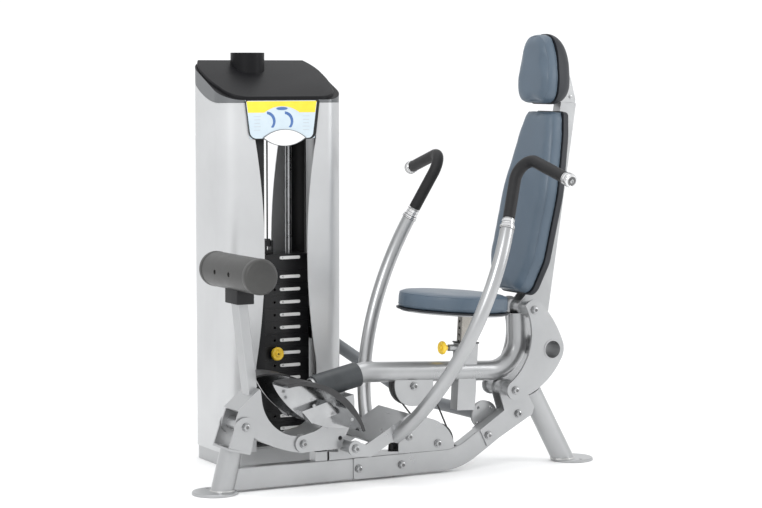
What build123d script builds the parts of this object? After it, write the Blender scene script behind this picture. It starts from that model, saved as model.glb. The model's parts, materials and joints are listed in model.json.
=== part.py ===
from build123d import *
from math import asin, atan, atan2, cos, degrees, hypot, pi, radians, sin, sqrt, tan
import os

# A chest press whose seat carriage rocks on two pairs of links, with a weight tower beside it.
# X runs along the floor rail from the foot end to the back end, Y across towards the tower,
# Z up. The origin is the centre of the front foot on the floor. Sizes are in millimetres.

# ---------------------------------------------------------------- shared stock and clearances
GAP = 0.3                      # between curved faces of neighbouring pieces
RUN = 0.05                     # radial running clearance of pins
PLATE = 8.0                    # bracket plate
LINK_PLATE = 10.0              # rocker plates
BOLT_R = 8.0                   # pivot and bracket bolts
BOLT_HEAD_R = 13.0
BOLT_HEAD_H = 9.0

# ---------------------------------------------------------------- feet, floor rail and legs
FOOT_R = 82.5
FOOT_T = 10.0
ANCHOR_R = 6.5
ANCHOR_Y = 64.0
DRAIN_R = 10.0                 # drain hole through a foot, under its hollow post
POST_R = 41.5
POST_WALL = 4.0
FRONT_POST_FOOT = (27.0, 0.0, 0.0)
FRONT_POST_TOP = (66.0, 0.0, 152.0)
RAIL_H = 80.0
RAIL_W = 50.0
RAIL_WALL = 4.0
RAIL_Z = 8.0                   # underside of the rail
RAIL_SPLICE_X = 655.0
RAIL_BEND_X = 991.0
RAIL_BEND_R = 220.0
RAIL_RISE_DEG = 32.0
SPLICE_X = (545.0, 765.0)
SPLICE_T = 5.0
REAR_FOOT_X = 1514.0
LEG_FOOT = (1478.0, 0.0, 0.0)
LEG_TOP = (1322.0, 0.0, 283.0)

# ---------------------------------------------------------------- rocker pivots (X, Z)
FRONT_PIVOT = (92.0, 243.0)    # front link on the front stand
CARRIAGE_PIN = (320.0, 165.0)  # front link on the carriage
REAR_PIVOT = (1199.0, 304.0)   # rear link on the frame
BACK_PIVOT = (1281.0, 605.0)   # rear link on the carriage
ARM_PIVOT = (505.0, 141.0)     # press arms on the frame

# ---------------------------------------------------------------- widths across the machine (Y)
CLEVIS_Y = 62.0                # inner face of the front clevis and of the carriage bracket
CRESCENT_Y = 52.0              # inner face of the front link plates
REAR_LINK_Y = 85.0             # inner face of the rear link plates
YOKE_Y = 112.0                 # inner face of the press arm yoke


def side_plate(profile, y_from, thickness):
    """Extrude a profile drawn in X and Z, from y_from towards the tower."""
    plane = Plane(origin=(0, y_from + thickness, 0), x_dir=(1, 0, 0), z_dir=(0, -1, 0))
    return extrude(plane * profile, thickness)


def both_plates(profile, inner_y, thickness):
    """Two equal plates, one each side of the middle."""
    far = side_plate(profile, inner_y, thickness)
    near = side_plate(profile, -inner_y - thickness, thickness)
    return [near, far]


def ring(radius, bore):
    return Circle(radius) - Circle(bore) if bore else Circle(radius)


def cross_tube(centre, radius, half_width, bore=0.0):
    """A tube across the machine, centred on the middle plane."""
    return side_plate(Pos(*centre) * ring(radius, bore), -half_width, 2 * half_width)


def cross_pin(centre, radius, y_from, y_to):
    return side_plate(Pos(*centre) * Circle(radius), min(y_from, y_to), abs(y_to - y_from))


def rod(start, end, radius, bore=0.0):
    axis = Vector(*end) - Vector(*start)
    return extrude(Plane(origin=start, z_dir=axis) * ring(radius, bore), axis.length)


def swept(path, section):
    return sweep(Plane(origin=path @ 0, z_dir=path % 0) * section, path=path)


def closed(*edges):
    """A face inside a closed run of lines and arcs."""
    return make_face(Wire(list(edges)))


def hull(*circles):
    """The outline of circles (x, z, r) joined by their outer tangents."""
    return make_hull([edge for x, z, r in circles for edge in (Pos(x, z) * Circle(r)).edges()])


def symmetric(*edges):
    """A face from the right half of an outline, mirrored about its upright middle line."""
    right = Wire(list(edges))
    left = mirror(right, about=Plane.YZ)
    return make_face(Wire(right.edges() + left.edges()))


def mirrored(shape):
    return mirror(shape, about=Plane.XZ)


def pair(shape):
    return [shape, mirrored(shape)]


def group(*solids):
    flat = []
    for item in solids:
        if isinstance(item, (list, tuple, ShapeList)):
            flat.extend(group(*item).solids())
        else:
            flat.extend(item.solids())
    return Compound(children=flat)


def hex_bolt(centre, y_face, side, grip=4.0):
    """A bolt head and washer on a plate face, with its shank running `grip` deep."""
    washer = cross_pin(centre, BOLT_HEAD_R + 2, y_face, y_face + side * 2)
    head = RegularPolygon(BOLT_HEAD_R, 6)
    y0 = y_face + side * 2
    y1 = y0 + side * BOLT_HEAD_H
    hexagon = side_plate(Pos(*centre) * head, min(y0, y1), BOLT_HEAD_H)
    bolt = washer + hexagon
    return bolt + cross_pin(centre, BOLT_R, y_face, y_face - side * grip) if grip else bolt


def knob_along_z(neck_r, radius, neck_h, body_h):
    """A pull knob standing on the XY plane: a flared neck and a rounded drum."""
    low = Cone(neck_r, radius, neck_h, align=(Align.CENTER, Align.CENTER, Align.MIN))
    drum = Pos(0, 0, neck_h + body_h / 2) * Cylinder(radius, body_h)
    knob = low + drum
    return fillet(knob.edges().group_by(Axis.Z)[-1], radius * 0.5)


def plate_holes(shape, centres, radius, half_width=400.0):
    for centre in centres:
        shape -= cross_tube(centre, radius, half_width)
    return shape


# ---------------------------------------------------------------- floor frame
def foot_disc(x):
    disc = Pos(x, 0, FOOT_T / 2) * Cylinder(FOOT_R, FOOT_T)
    disc = chamfer(disc.edges().group_by(Axis.Z)[-1], 3)
    for y in (-ANCHOR_Y, ANCHOR_Y):
        disc -= Pos(x, y, FOOT_T / 2) * Cylinder(ANCHOR_R, FOOT_T)
    return disc


def lean(start, end):
    return Vector(*end) - Vector(*start)


def above_floor(shape):
    return shape & Pos(0, 0, 1000) * Box(6000, 2000, 2000)


def above_foot(shape):
    return shape & Pos(0, 0, 1000 + FOOT_T) * Box(6000, 2000, 2000)


def front_stand():
    axis = lean(FRONT_POST_FOOT, FRONT_POST_TOP).normalized()
    top = Plane(origin=FRONT_POST_TOP, x_dir=(axis.Z, 0, -axis.X), z_dir=axis)
    start = Vector(*FRONT_POST_FOOT) - axis * 40
    post = above_floor(rod(tuple(start), FRONT_POST_TOP, POST_R))
    bore = rod(tuple(start), tuple(Vector(*FRONT_POST_TOP) - axis * PLATE), POST_R - POST_WALL)
    bore = above_foot(bore) + Pos(FRONT_POST_FOOT[0] + 8, 0, 0) * Cylinder(DRAIN_R, 4 * FOOT_T)
    web = extrude(top * Rectangle(88, 2 * (CLEVIS_Y + PLATE)), PLATE)
    cheek = closed(*cheek_outline())
    holes = [FRONT_PIVOT]
    cheeks = [plate_holes(side, holes, BOLT_R + RUN) for side in both_plates(cheek, CLEVIS_Y, PLATE)]
    return foot_disc(0) + post - bore + web + cheeks[0] + cheeks[1]


def cheek_outline():
    x, z = FRONT_PIVOT
    base_left = (26.0, 172.0)
    base_right = (111.0, 148.0)
    shoulder = (x + 33, z - 30)
    left_top = (x - 44, z - 8)
    return [
        Line(base_left, base_right),
        Line(base_right, shoulder),
        ThreePointArc(shoulder, (x + 12, z + 32), left_top),
        Line(left_top, base_left),
    ]


def rail_section():
    outer = RectangleRounded(RAIL_W, RAIL_H, 5)
    return outer - RectangleRounded(RAIL_W - 2 * RAIL_WALL, RAIL_H - 2 * RAIL_WALL, 2)


def rail_path():
    z = RAIL_Z + RAIL_H / 2
    rise = radians(RAIL_RISE_DEG)
    end = (RAIL_BEND_X + 460 * cos(rise), 0, z + 460 * sin(rise))
    return FilletPolyline((RAIL_SPLICE_X, 0, z), (RAIL_BEND_X, 0, z), end, radius=RAIL_BEND_R)


def rail_along(path):
    plane = Plane(origin=path @ 0, x_dir=(0, 1, 0), z_dir=path % 0)
    return sweep(plane * rail_section(), path=path)


def front_rail():
    z = RAIL_Z + RAIL_H / 2
    rail = rail_along(Line((40, 0, z), (RAIL_SPLICE_X, 0, z)))
    axis = lean(FRONT_POST_FOOT, FRONT_POST_TOP).normalized()
    start = tuple(Vector(*FRONT_POST_FOOT) - axis * 60)
    rail -= rod(start, tuple(Vector(*FRONT_POST_TOP) + axis * 60), POST_R)
    return keep_largest(rail - Cylinder(FOOT_R, 2 * FOOT_T))


def keep_largest(shape):
    return max(shape.solids(), key=lambda solid: solid.volume)


def leg_cutter():
    axis = lean(LEG_FOOT, LEG_TOP).normalized()
    return rod(tuple(Vector(*LEG_FOOT) - axis * 80), tuple(Vector(*LEG_TOP) + axis * 150), POST_R)


def rear_rail():
    rail = rail_along(rail_path()) - leg_cutter()
    rail = keep_largest(rail)
    x, z = RAIL_PULLEY
    slot = Pos(x, 0, RAIL_Z + RAIL_H + 8) * Box(2 * PULLEY_R + 24, PULLEY_W + 8, 32)
    return rail - slot


def rear_stand():
    axis = lean(LEG_FOOT, LEG_TOP).normalized()
    start = tuple(Vector(*LEG_FOOT) - axis * 60)
    leg = above_floor(rod(start, LEG_TOP, POST_R))
    bore = rod(start, tuple(Vector(*LEG_TOP) - axis * RAIL_WALL), POST_R - POST_WALL)
    bore = above_foot(bore) + Pos(LEG_FOOT[0] - 8, 0, 0) * Cylinder(DRAIN_R, 4 * FOOT_T)
    return foot_disc(REAR_FOOT_X) + leg - bore


def splice_plates():
    low, high = SPLICE_X
    profile = Pos((low + high) / 2, RAIL_Z + RAIL_H / 2) * RectangleRounded(high - low, RAIL_H - 2, 4)
    return group(both_plates(profile, RAIL_W / 2, SPLICE_T))


def rear_bracket():
    x, z = REAR_PIVOT
    lobe_r = 34
    web = Polyline((1083, 152), (1114, 88), (1314, 196), (1349, 300), (x + 20, z + 28), (x - 33, z - 8),
                   (1190, 220), close=True)
    profile = make_face(web) + Pos(x, z) * Circle(lobe_r)
    plates = [plate - leg_cutter() for plate in both_plates(profile, RAIL_W / 2, 6)]
    sleeve = cross_tube(REAR_PIVOT, 28, REAR_LINK_Y - GAP, BOLT_R + RUN)
    bore = cross_tube(REAR_PIVOT, 27, 40)
    return keep_largest(plates[0] - bore + (plates[1] - bore) + sleeve)


# ---------------------------------------------------------------- arm mount and rests
WEDGE_X = (446.0, 733.0)
WEDGE_H = (31.0, 9.0)
ARM_TUBE_R = 22.0
REST_BLOCK_X = (389.0, 440.0)
REST_STEEL_TOP = 122.0
REST_TOP = 132.4
BUMPER_X = 716.0
BUMPER_R = 12.0
BUMPER_TOP = 131.0


def arm_mount():
    top = RAIL_Z + RAIL_H
    low, high = WEDGE_X
    wedge = closed(Line((low, top), (high, top)), Line((high, top), (high, top + WEDGE_H[1])),
                   Line((high, top + WEDGE_H[1]), (low, top + WEDGE_H[0])),
                   Line((low, top + WEDGE_H[0]), (low, top)))
    body = side_plate(wedge, -RAIL_W / 2, RAIL_W)
    tube = cross_tube(ARM_PIVOT, ARM_TUBE_R, YOKE_Y - GAP)
    saddle = side_plate(Pos(ARM_PIVOT[0], top + 25) * Rectangle(44, 50), -RAIL_W / 2, RAIL_W)
    bore = cross_tube(ARM_PIVOT, BOLT_R + RUN, YOKE_Y)
    return body + saddle + tube - bore - Pos(BUMPER_X, 0, 0) * Cylinder(BUMPER_R + 1, 400)


def carriage_rest():
    top = RAIL_Z + RAIL_H
    low, high = REST_BLOCK_X
    block = side_plate(Pos((low + high) / 2, (top + REST_STEEL_TOP) / 2)
                       * Rectangle(high - low, REST_STEEL_TOP - top), -RAIL_W / 2, RAIL_W)
    return fillet(block.edges().filter_by(Axis.Z), 4)


def rubber_bumpers():
    low, high = REST_BLOCK_X
    pad_h = REST_TOP - REST_STEEL_TOP
    pad = Pos((low + high) / 2, 0, REST_STEEL_TOP + pad_h / 2) * Box(high - low - 6, RAIL_W - 6, pad_h)
    base = RAIL_Z + RAIL_H
    stop = Pos(BUMPER_X, 0, base) * Cone(BUMPER_R, BUMPER_R - 3, BUMPER_TOP - base,
                                         align=(Align.CENTER, Align.CENTER, Align.MIN))
    return group(pad, stop)


# ---------------------------------------------------------------- cable pulleys
PULLEY_R = 76.0
PULLEY_W = 24.0
PULLEY_BORE = BOLT_R + RUN
CABLE_R = 3.2
CABLE_WRAP_R = 70.0            # cable centre line on a large pulley
CHEEK_Y = 19.0                 # inner face of the pulley cheek plates
RAIL_PULLEY = (902.0, 115.0)
CARRIAGE_PULLEY = (800.0, 338.0)
CABLE_ANCHOR = (829.0, 193.0)


def pulley(radius, wrap_r, width):
    """A grooved wheel about the Z axis, dished on both faces."""
    half = width / 2
    floor_r = wrap_r - CABLE_R - GAP
    hub_r = PULLEY_BORE + 9
    web = half * 0.4
    outline = Polyline(
        (PULLEY_BORE, -half), (hub_r, -half), (hub_r + 4, -web), (floor_r - 9, -web), (floor_r - 6, -half + 2),
        (radius, -half + 2), (floor_r, -2), (floor_r, 2), (radius, half - 2), (floor_r - 6, half - 2),
        (floor_r - 9, web), (hub_r + 4, web), (hub_r, half), (PULLEY_BORE, half), close=True)
    face = Plane.XZ * make_face(outline)
    return revolve(face, Axis.Z)


def pulley_across(centre, radius, wrap_r, width):
    x, z = centre
    return Pos(x, 0, z) * Rot(90, 0, 0) * pulley(radius, wrap_r, width)


def lower_pulley_bracket():
    top = RAIL_Z + RAIL_H
    low, high = 734.0, 972.0
    outline = closed(Line((low, top), (high, top)), Line((high, top), (high, 112)),
                     ThreePointArc((high, 112), (842, 215), (low, 172)), Line((low, 172), (low, top)))
    plates = both_plates(outline, CHEEK_Y, 6)
    pins = [plate_holes(plate, [RAIL_PULLEY, BRACKET_BOLT], BOLT_R) for plate in plates]
    anchor = cross_tube(CABLE_ANCHOR, 6, CHEEK_Y)
    rail = sweep(Plane(origin=rail_path() @ 0, x_dir=(0, 1, 0), z_dir=rail_path() % 0)
                 * Rectangle(RAIL_W + 10, RAIL_H), path=rail_path())
    return group([pin - rail for pin in pins], anchor)


BRACKET_BOLT = (779.0, 150.0)


def tangent_points(a, b, side):
    """Where a straight cable leaves circle a and meets circle b, both of the wrap radius."""
    dx, dz = b[0] - a[0], b[1] - a[1]
    length = hypot(dx, dz)
    nx, nz = -dz / length * side, dx / length * side
    shift_x, shift_z = nx * CABLE_WRAP_R, nz * CABLE_WRAP_R
    return (a[0] + shift_x, a[1] + shift_z), (b[0] + shift_x, b[1] + shift_z)


def tangent_from(point, centre, side):
    """Where a cable from a point touches a pulley's wrap circle."""
    dx, dz = centre[0] - point[0], centre[1] - point[1]
    dist = hypot(dx, dz)
    turn = asin(CABLE_WRAP_R / dist) * side
    reach = sqrt(dist ** 2 - CABLE_WRAP_R ** 2)
    heading = atan2(dz, dx) + turn
    return point[0] + reach * cos(heading), point[1] + reach * sin(heading)


def in_plane(point, y=0.0):
    return point[0], y, point[1]


def between(a, b, share):
    return a[0] + (b[0] - a[0]) * share, a[1] + (b[1] - a[1]) * share


UP_RIGHT, LOW_RIGHT = tangent_points(CARRIAGE_PULLEY, RAIL_PULLEY, 1)
UP_LEFT = tangent_from(CABLE_ANCHOR, CARRIAGE_PULLEY, 1)
SPLIT_RIGHT = between(UP_RIGHT, LOW_RIGHT, 0.30)
SPLIT_LEFT = between(UP_LEFT, CABLE_ANCHOR, 0.42)


def wrap_arc(centre, start, middle_angle, end):
    x, z = centre
    a = radians(middle_angle)
    middle = (x + CABLE_WRAP_R * cos(a), z + CABLE_WRAP_R * sin(a))
    return ThreePointArc(in_plane(start), in_plane(middle), in_plane(end))


def upper_cable():
    left = Line(in_plane(SPLIT_LEFT), in_plane(UP_LEFT))
    over = wrap_arc(CARRIAGE_PULLEY, UP_LEFT, 110, UP_RIGHT)
    right = Line(in_plane(UP_RIGHT), in_plane(SPLIT_RIGHT))
    return swept(Wire([left, over, right]), Circle(CABLE_R))


def lower_cable():
    bottom = (RAIL_PULLEY[0], RAIL_PULLEY[1] - CABLE_WRAP_R)
    right = Line(in_plane(SPLIT_RIGHT), in_plane(LOW_RIGHT))
    under = wrap_arc(RAIL_PULLEY, LOW_RIGHT, -40, bottom)
    run = Line(in_plane(bottom), (bottom[0] - 140, 0, bottom[1]))
    main = swept(Wire([right, under, run]), Circle(CABLE_R))
    end = between(CABLE_ANCHOR, SPLIT_LEFT, 6.3 / hypot(CABLE_ANCHOR[0] - SPLIT_LEFT[0], CABLE_ANCHOR[1] - SPLIT_LEFT[1]))
    left = rod(in_plane(end), in_plane(SPLIT_LEFT), CABLE_R)
    return group(main, left)


# ---------------------------------------------------------------- weight tower
TOWER_X = 505.0
TOWER_W = 522.0
TOWER_Y = (455.0, 785.0)
TOWER_CORNER_R = 85.0
SHEET = 4.0
SHROUD_LOW = 52.0
SHROUD_FRONT_TOP = 1385.0      # the shroud's upper edge, low in front and high at the back
SHROUD_BACK_TOP = 1500.0
WAIST = 91.0                   # half width of the front opening at its waist
WAIST_Z = 815.0
OPENING_W = 129.0              # half width of the opening at its top
OPENING_TOP = 1250.0
SIDE_GAP = 0.6                 # between the two shroud halves and their neighbours
STACK_Y = 625.0
PLATE_PITCH = 49.5
WEIGHT_T = 49.0
WEIGHT_W = 300.0
WEIGHT_D = 130.0
PINNED_Z = 413.0               # middle of the plate that the selector pin holds
RESTING = 6
LIFTED = 7
GUIDE_X = 92.0
GUIDE_R = 12.5
STEM_R = 12.0
SELECTOR_R = 5.0
BASE_H = 60.0
TOWER_PULLEY_Z = 1396.0
CROSSHEAD_Z = (TOWER_PULLEY_Z - 106, TOWER_PULLEY_Z - 61)
UPRIGHT_X = 205.0
TOWER_PULLEY_R = 38.0
TOWER_WRAP_R = 33.0
LINK_TUBE_R = 25.0
FLANGE = (1139.0, 198.0)
FLANGE_R = 54.0
LINK_TUBE_Y = 600.0
LINK_BEND_R = 120.0
LINK_TUBE_END = (TOWER_X + UPRIGHT_X + 20, 620.0, 475.0)
DROP_X = TOWER_X + UPRIGHT_X - 40
TOWER_PULLEYS = (TOWER_X + TOWER_WRAP_R, DROP_X - TOWER_WRAP_R)
DROP_Z = 520.0                 # corner where the cable turns into the link tube
LOW_PULLEY = (DROP_X + TOWER_WRAP_R, DROP_Z + 17.3)
WINDOW_Z = (455.0, 582.0)


def tower_plan(inset=0.0, corner=TOWER_CORNER_R):
    depth = TOWER_Y[1] - TOWER_Y[0]
    shape = RectangleRounded(TOWER_W - 2 * inset, depth - 2 * inset, corner - inset)
    return Pos(TOWER_X, sum(TOWER_Y) / 2) * shape


def upright_box(size_x, size_y, z_low, z_high, x, y):
    return Pos(x, y, (z_low + z_high) / 2) * Box(size_x, size_y, z_high - z_low)


def tube_box(size_x, size_y, z_low, z_high, x, y, wall=3.0):
    inner = upright_box(size_x - 2 * wall, size_y - 2 * wall, z_low - 1, z_high + 1, x, y)
    return upright_box(size_x, size_y, z_low, z_high, x, y) - inner


def tower_base():
    """A floor frame of flat bars with a cross beam under the stack."""
    ring_plan = tower_plan(SHEET + GAP) - tower_plan(54)
    frame = extrude(ring_plan, BASE_H)
    beam = upright_box(TOWER_W - 80, 90, 0, BASE_H, TOWER_X, STACK_Y)
    return frame + beam


def tower_uprights():
    posts = []
    for side in (-1, 1):
        x = TOWER_X + side * UPRIGHT_X
        posts.append(tube_box(40, 80, BASE_H, CROSSHEAD_Z[0], x, STACK_Y))
    low, high = WINDOW_Z
    posts[1] = posts[1] - upright_box(120, 34, low, high, TOWER_X + UPRIGHT_X, STACK_Y)
    posts[1] -= cross_pin(LOW_PULLEY, BOLT_R, STACK_Y - 50, STACK_Y + 50)
    return group(posts)


def tower_crosshead():
    low, high = CROSSHEAD_Z
    beam = upright_box(2 * UPRIGHT_X + 40, 80, low, high, TOWER_X, STACK_Y)
    beam -= upright_box(2 * UPRIGHT_X + 60, 72, low + 4, high - 4, TOWER_X, STACK_Y)
    for x in (TOWER_X, DROP_X):
        beam -= upright_box(30, 30, low - 1, high + 1, x, STACK_Y)
    for side in (-1, 1):
        beam -= Pos(TOWER_X + side * GUIDE_X, STACK_Y, low) * Cylinder(GUIDE_R, 30)
    cheeks = []
    for y in (STACK_Y - 20, STACK_Y + 20):
        cheek = hull((TOWER_PULLEYS[0], TOWER_PULLEY_Z, 24), (TOWER_PULLEYS[1], TOWER_PULLEY_Z, 24),
                     (TOWER_PULLEYS[0], high + 20, 20), (TOWER_PULLEYS[1], high + 20, 20))
        plate = side_plate(cheek, y - 3, 6)
        plate = plate_holes(plate, [(x, TOWER_PULLEY_Z) for x in TOWER_PULLEYS], BOLT_R, 900)
        cheeks.append(plate)
    return beam + cheeks[0] + cheeks[1]


def tower_pulley(x, z):
    wheel = Rot(90, 0, 0) * pulley(TOWER_PULLEY_R, TOWER_WRAP_R, PULLEY_W)
    return Pos(x, STACK_Y, z) * wheel


def tower_pulley_axles():
    top = [cross_pin((x, TOWER_PULLEY_Z), BOLT_R, STACK_Y - 26, STACK_Y + 26) for x in TOWER_PULLEYS]
    return top + [cross_pin(LOW_PULLEY, BOLT_R, STACK_Y - 40, STACK_Y + 40)]


def opening_profile():
    """The waisted opening between the shroud halves, seen from the front."""
    top, bottom = OPENING_TOP + 200, SHROUD_LOW - 10
    spread = OPENING_TOP - WAIST_Z
    low = WAIST_Z - spread

    def edge(side):
        x = TOWER_X + side * OPENING_W
        return ThreePointArc((x, OPENING_TOP), (TOWER_X + side * WAIST, WAIST_Z), (x, low))

    left, right = edge(-1), edge(1)
    wide = OPENING_W
    return closed(left, Line((TOWER_X - wide, low), (TOWER_X - wide, bottom)),
                  Line((TOWER_X - wide, bottom), (TOWER_X + wide, bottom)),
                  Line((TOWER_X + wide, bottom), (TOWER_X + wide, low)), right,
                  Line((TOWER_X + wide, OPENING_TOP), (TOWER_X + wide, top)),
                  Line((TOWER_X + wide, top), (TOWER_X - wide, top)),
                  Line((TOWER_X - wide, top), (TOWER_X - wide, OPENING_TOP)))


def along_tower(face):
    """A face in the plane seen from the side, carried across the whole width of the tower."""
    plane = Plane(origin=(TOWER_X - 400, 0, 0), x_dir=(0, 1, 0), z_dir=(1, 0, 0))
    return extrude(plane * face, 800)


def below_shroud_edge(lift=0.0):
    """Everything under the curve that the shroud's upper edge follows from front to back."""
    low, high = SHROUD_FRONT_TOP + lift, SHROUD_BACK_TOP + lift
    front, back = TOWER_Y[0] - 60, TOWER_Y[1] + 60
    return along_tower(closed(
        Line((front, 0), (front, low)), Line((front, low), (470, low)),
        ThreePointArc((470, low), (640, low + 29), (750, high - 20)), Line((750, high - 20), (766, high)),
        Line((766, high), (back, high)), Line((back, high), (back, 0)), Line((back, 0), (front, 0))))


def shroud(side):
    low = SHROUD_LOW
    shell = Pos(0, 0, low) * extrude(tower_plan() - tower_plan(SHEET), SHROUD_BACK_TOP - low)
    shell -= side_plate(opening_profile(), TOWER_Y[0] - 50, TOWER_Y[1] - TOWER_Y[0] + 100)
    shell = shell & below_shroud_edge()
    half = Pos(TOWER_X + side * 500, sum(TOWER_Y) / 2, 700) * Box(1000, 1000, 3000)
    shell = keep_largest(shell & half)
    if side > 0:
        shell -= link_tube_solid(LINK_TUBE_R + 3)
    return shell


CAP_FRONT_Z = SHROUD_FRONT_TOP + 24
CAP_BACK_Z = SHROUD_BACK_TOP + 56
CAP_FRONT_Y = TOWER_Y[0] + 0.4
PANEL_T = 12.0                 # the sloping panel stands this far above its skirt
PANEL_EDGE_R = 5.0
CUP_R = 66.0
CUP_AT = (TOWER_X - 40, TOWER_Y[1] - 70)
CUP_Z = (CAP_BACK_Z - 66, CAP_BACK_Z - 11, CAP_BACK_Z + 21)
CUP_WALL = 6.0


def below_slope(drop):
    """Everything under the cap's sloping top, lowered by drop."""
    front, back = TOWER_Y[0] - 100, TOWER_Y[1] + 100
    rise = (CAP_BACK_Z - CAP_FRONT_Z) / (TOWER_Y[1] - TOWER_Y[0])
    z_front, z_back = CAP_FRONT_Z - 100 * rise - drop, CAP_BACK_Z + 100 * rise - drop
    return along_tower(closed(Line((front, 1000), (front, z_front)), Line((front, z_front), (back, z_back)),
                              Line((back, z_back), (back, 1000)), Line((back, 1000), (front, 1000))))


def panel_plan():
    outline = symmetric(
        Line((0, 0), (150, 0)), ThreePointArc((150, 0), (203, 18), (238, 80)),
        ThreePointArc((238, 80), (252, 140), (255, 200)), ThreePointArc((255, 200), (249, 262), (226, 318)),
        Line((226, 318), (0, 318)))
    return Pos(TOWER_X, CAP_FRONT_Y) * outline


def cap_skirt(inset=0.0):
    low = SHROUD_FRONT_TOP - 30
    return (Pos(0, 0, low) * extrude(tower_plan(inset), 300)) & below_slope(PANEL_T + inset)


def cap_panel(inset=0.0):
    low = SHROUD_FRONT_TOP - 30
    plan = offset(panel_plan(), amount=-inset) if inset else panel_plan()
    return (Pos(0, 0, low) * extrude(plan, 300)) & below_slope(inset)


def top_cap():
    panel = cap_panel()
    top_face = panel.faces().sort_by(Axis.Z)[-1]
    panel = fillet(top_face.edges(), PANEL_EDGE_R)
    outer = cap_skirt() + panel
    return outer - cap_skirt(SHEET) - cap_panel(SHEET) - below_shroud_edge(SIDE_GAP)


def cup_tray():
    """A shallow round cup holder standing on the back of the cap."""
    x, y = CUP_AT
    low, floor, high = CUP_Z
    cup = Pos(x, y, (low + high) / 2) * Cylinder(CUP_R, high - low)
    cup -= Pos(x, y, (floor + high) / 2 + 10) * Cylinder(CUP_R - CUP_WALL, high - floor + 20)
    return cup - cap_skirt() - cap_panel()


BOARD_X = 490.0
BOARD_LOW_W = 136.0            # half widths of the board
BOARD_TOP_W = 155.0
BOARD_Z = (SHROUD_FRONT_TOP - 135, SHROUD_FRONT_TOP + 11)


def instruction_board():
    low, high = BOARD_Z
    face = make_face(Polyline((BOARD_X - BOARD_LOW_W, low), (BOARD_X + BOARD_LOW_W, low),
                              (BOARD_X + BOARD_TOP_W, high), (BOARD_X - BOARD_TOP_W, high), close=True))
    return side_plate(face, TOWER_Y[0] - SHEET - GAP, SHEET)


def guide_rods():
    return group([Pos(TOWER_X + side * GUIDE_X, STACK_Y, 0) *
                  Pos(0, 0, (BASE_H + CROSSHEAD_Z[0] + 4) / 2) * Cylinder(GUIDE_R, CROSSHEAD_Z[0] + 4 - BASE_H)
                  for side in (-1, 1)])


def stack_bumpers():
    top = PINNED_Z - RESTING * PLATE_PITCH - WEIGHT_T / 2
    ring_plan = Circle(28) - Circle(GUIDE_R + GAP)
    return group([Pos(TOWER_X + side * GUIDE_X, STACK_Y, BASE_H) * extrude(ring_plan, top - BASE_H)
                  for side in (-1, 1)])


def weight_plate(z):
    plan = RectangleRounded(WEIGHT_W, WEIGHT_D, 8) - Circle(STEM_R + 1)
    for side in (-1, 1):
        plan -= Pos(side * GUIDE_X, 0) * Circle(GUIDE_R + 1)
    body = Pos(TOWER_X, STACK_Y, z - WEIGHT_T / 2) * extrude(plan, WEIGHT_T)
    hole = cross_pin((TOWER_X, z), SELECTOR_R + RUN, STACK_Y - WEIGHT_D / 2 - 1, STACK_Y)
    return body - hole


def resting_plates():
    return group([weight_plate(PINNED_Z - (k + 1) * PLATE_PITCH) for k in range(RESTING)])


def lifted_plates():
    return group([weight_plate(PINNED_Z + k * PLATE_PITCH) for k in range(LIFTED)])


TOP_PLATE_T = 62.0
TOP_PLATE_Z = PINNED_Z + (LIFTED - 0.5) * PLATE_PITCH + 0.3
CLEVIS_Z = (TOP_PLATE_Z + TOP_PLATE_T, TOP_PLATE_Z + TOP_PLATE_T + 52)


def top_plate():
    """The carriage plate of the stack with its drilled stem and cable clevis."""
    plan = RectangleRounded(WEIGHT_W, WEIGHT_D, 8)
    for side in (-1, 1):
        plan -= Pos(side * GUIDE_X, 0) * Circle(GUIDE_R + 1)
    plate = Pos(TOWER_X, STACK_Y, TOP_PLATE_Z) * extrude(plan, TOP_PLATE_T)
    stem_low = PINNED_Z - RESTING * PLATE_PITCH
    stem = Pos(TOWER_X, STACK_Y, stem_low) * extrude(Circle(STEM_R), TOP_PLATE_Z - stem_low)
    for k in range(-RESTING + 1, LIFTED):
        z = PINNED_Z + k * PLATE_PITCH
        stem -= cross_pin((TOWER_X, z), SELECTOR_R + RUN, STACK_Y - 40, STACK_Y + 40)
    low, high = CLEVIS_Z
    clevis = upright_box(34, 34, low, high, TOWER_X, STACK_Y) - upright_box(18, 60, low + 14, high + 1, TOWER_X, STACK_Y)
    pin = Pos(TOWER_X, STACK_Y, high - 14) * Rot(0, 90, 0) * Cylinder(6, 34)
    eye = upright_box(18, 20, high - 24, high + 6, TOWER_X, STACK_Y)
    return plate + stem + clevis + pin + eye


STACK_CABLE_Z = (CLEVIS_Z[1] + 6, TOWER_PULLEY_Z)


def stack_cable():
    return rod((TOWER_X, STACK_Y, STACK_CABLE_Z[0]), (TOWER_X, STACK_Y, STACK_CABLE_Z[1]), CABLE_R)


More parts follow.
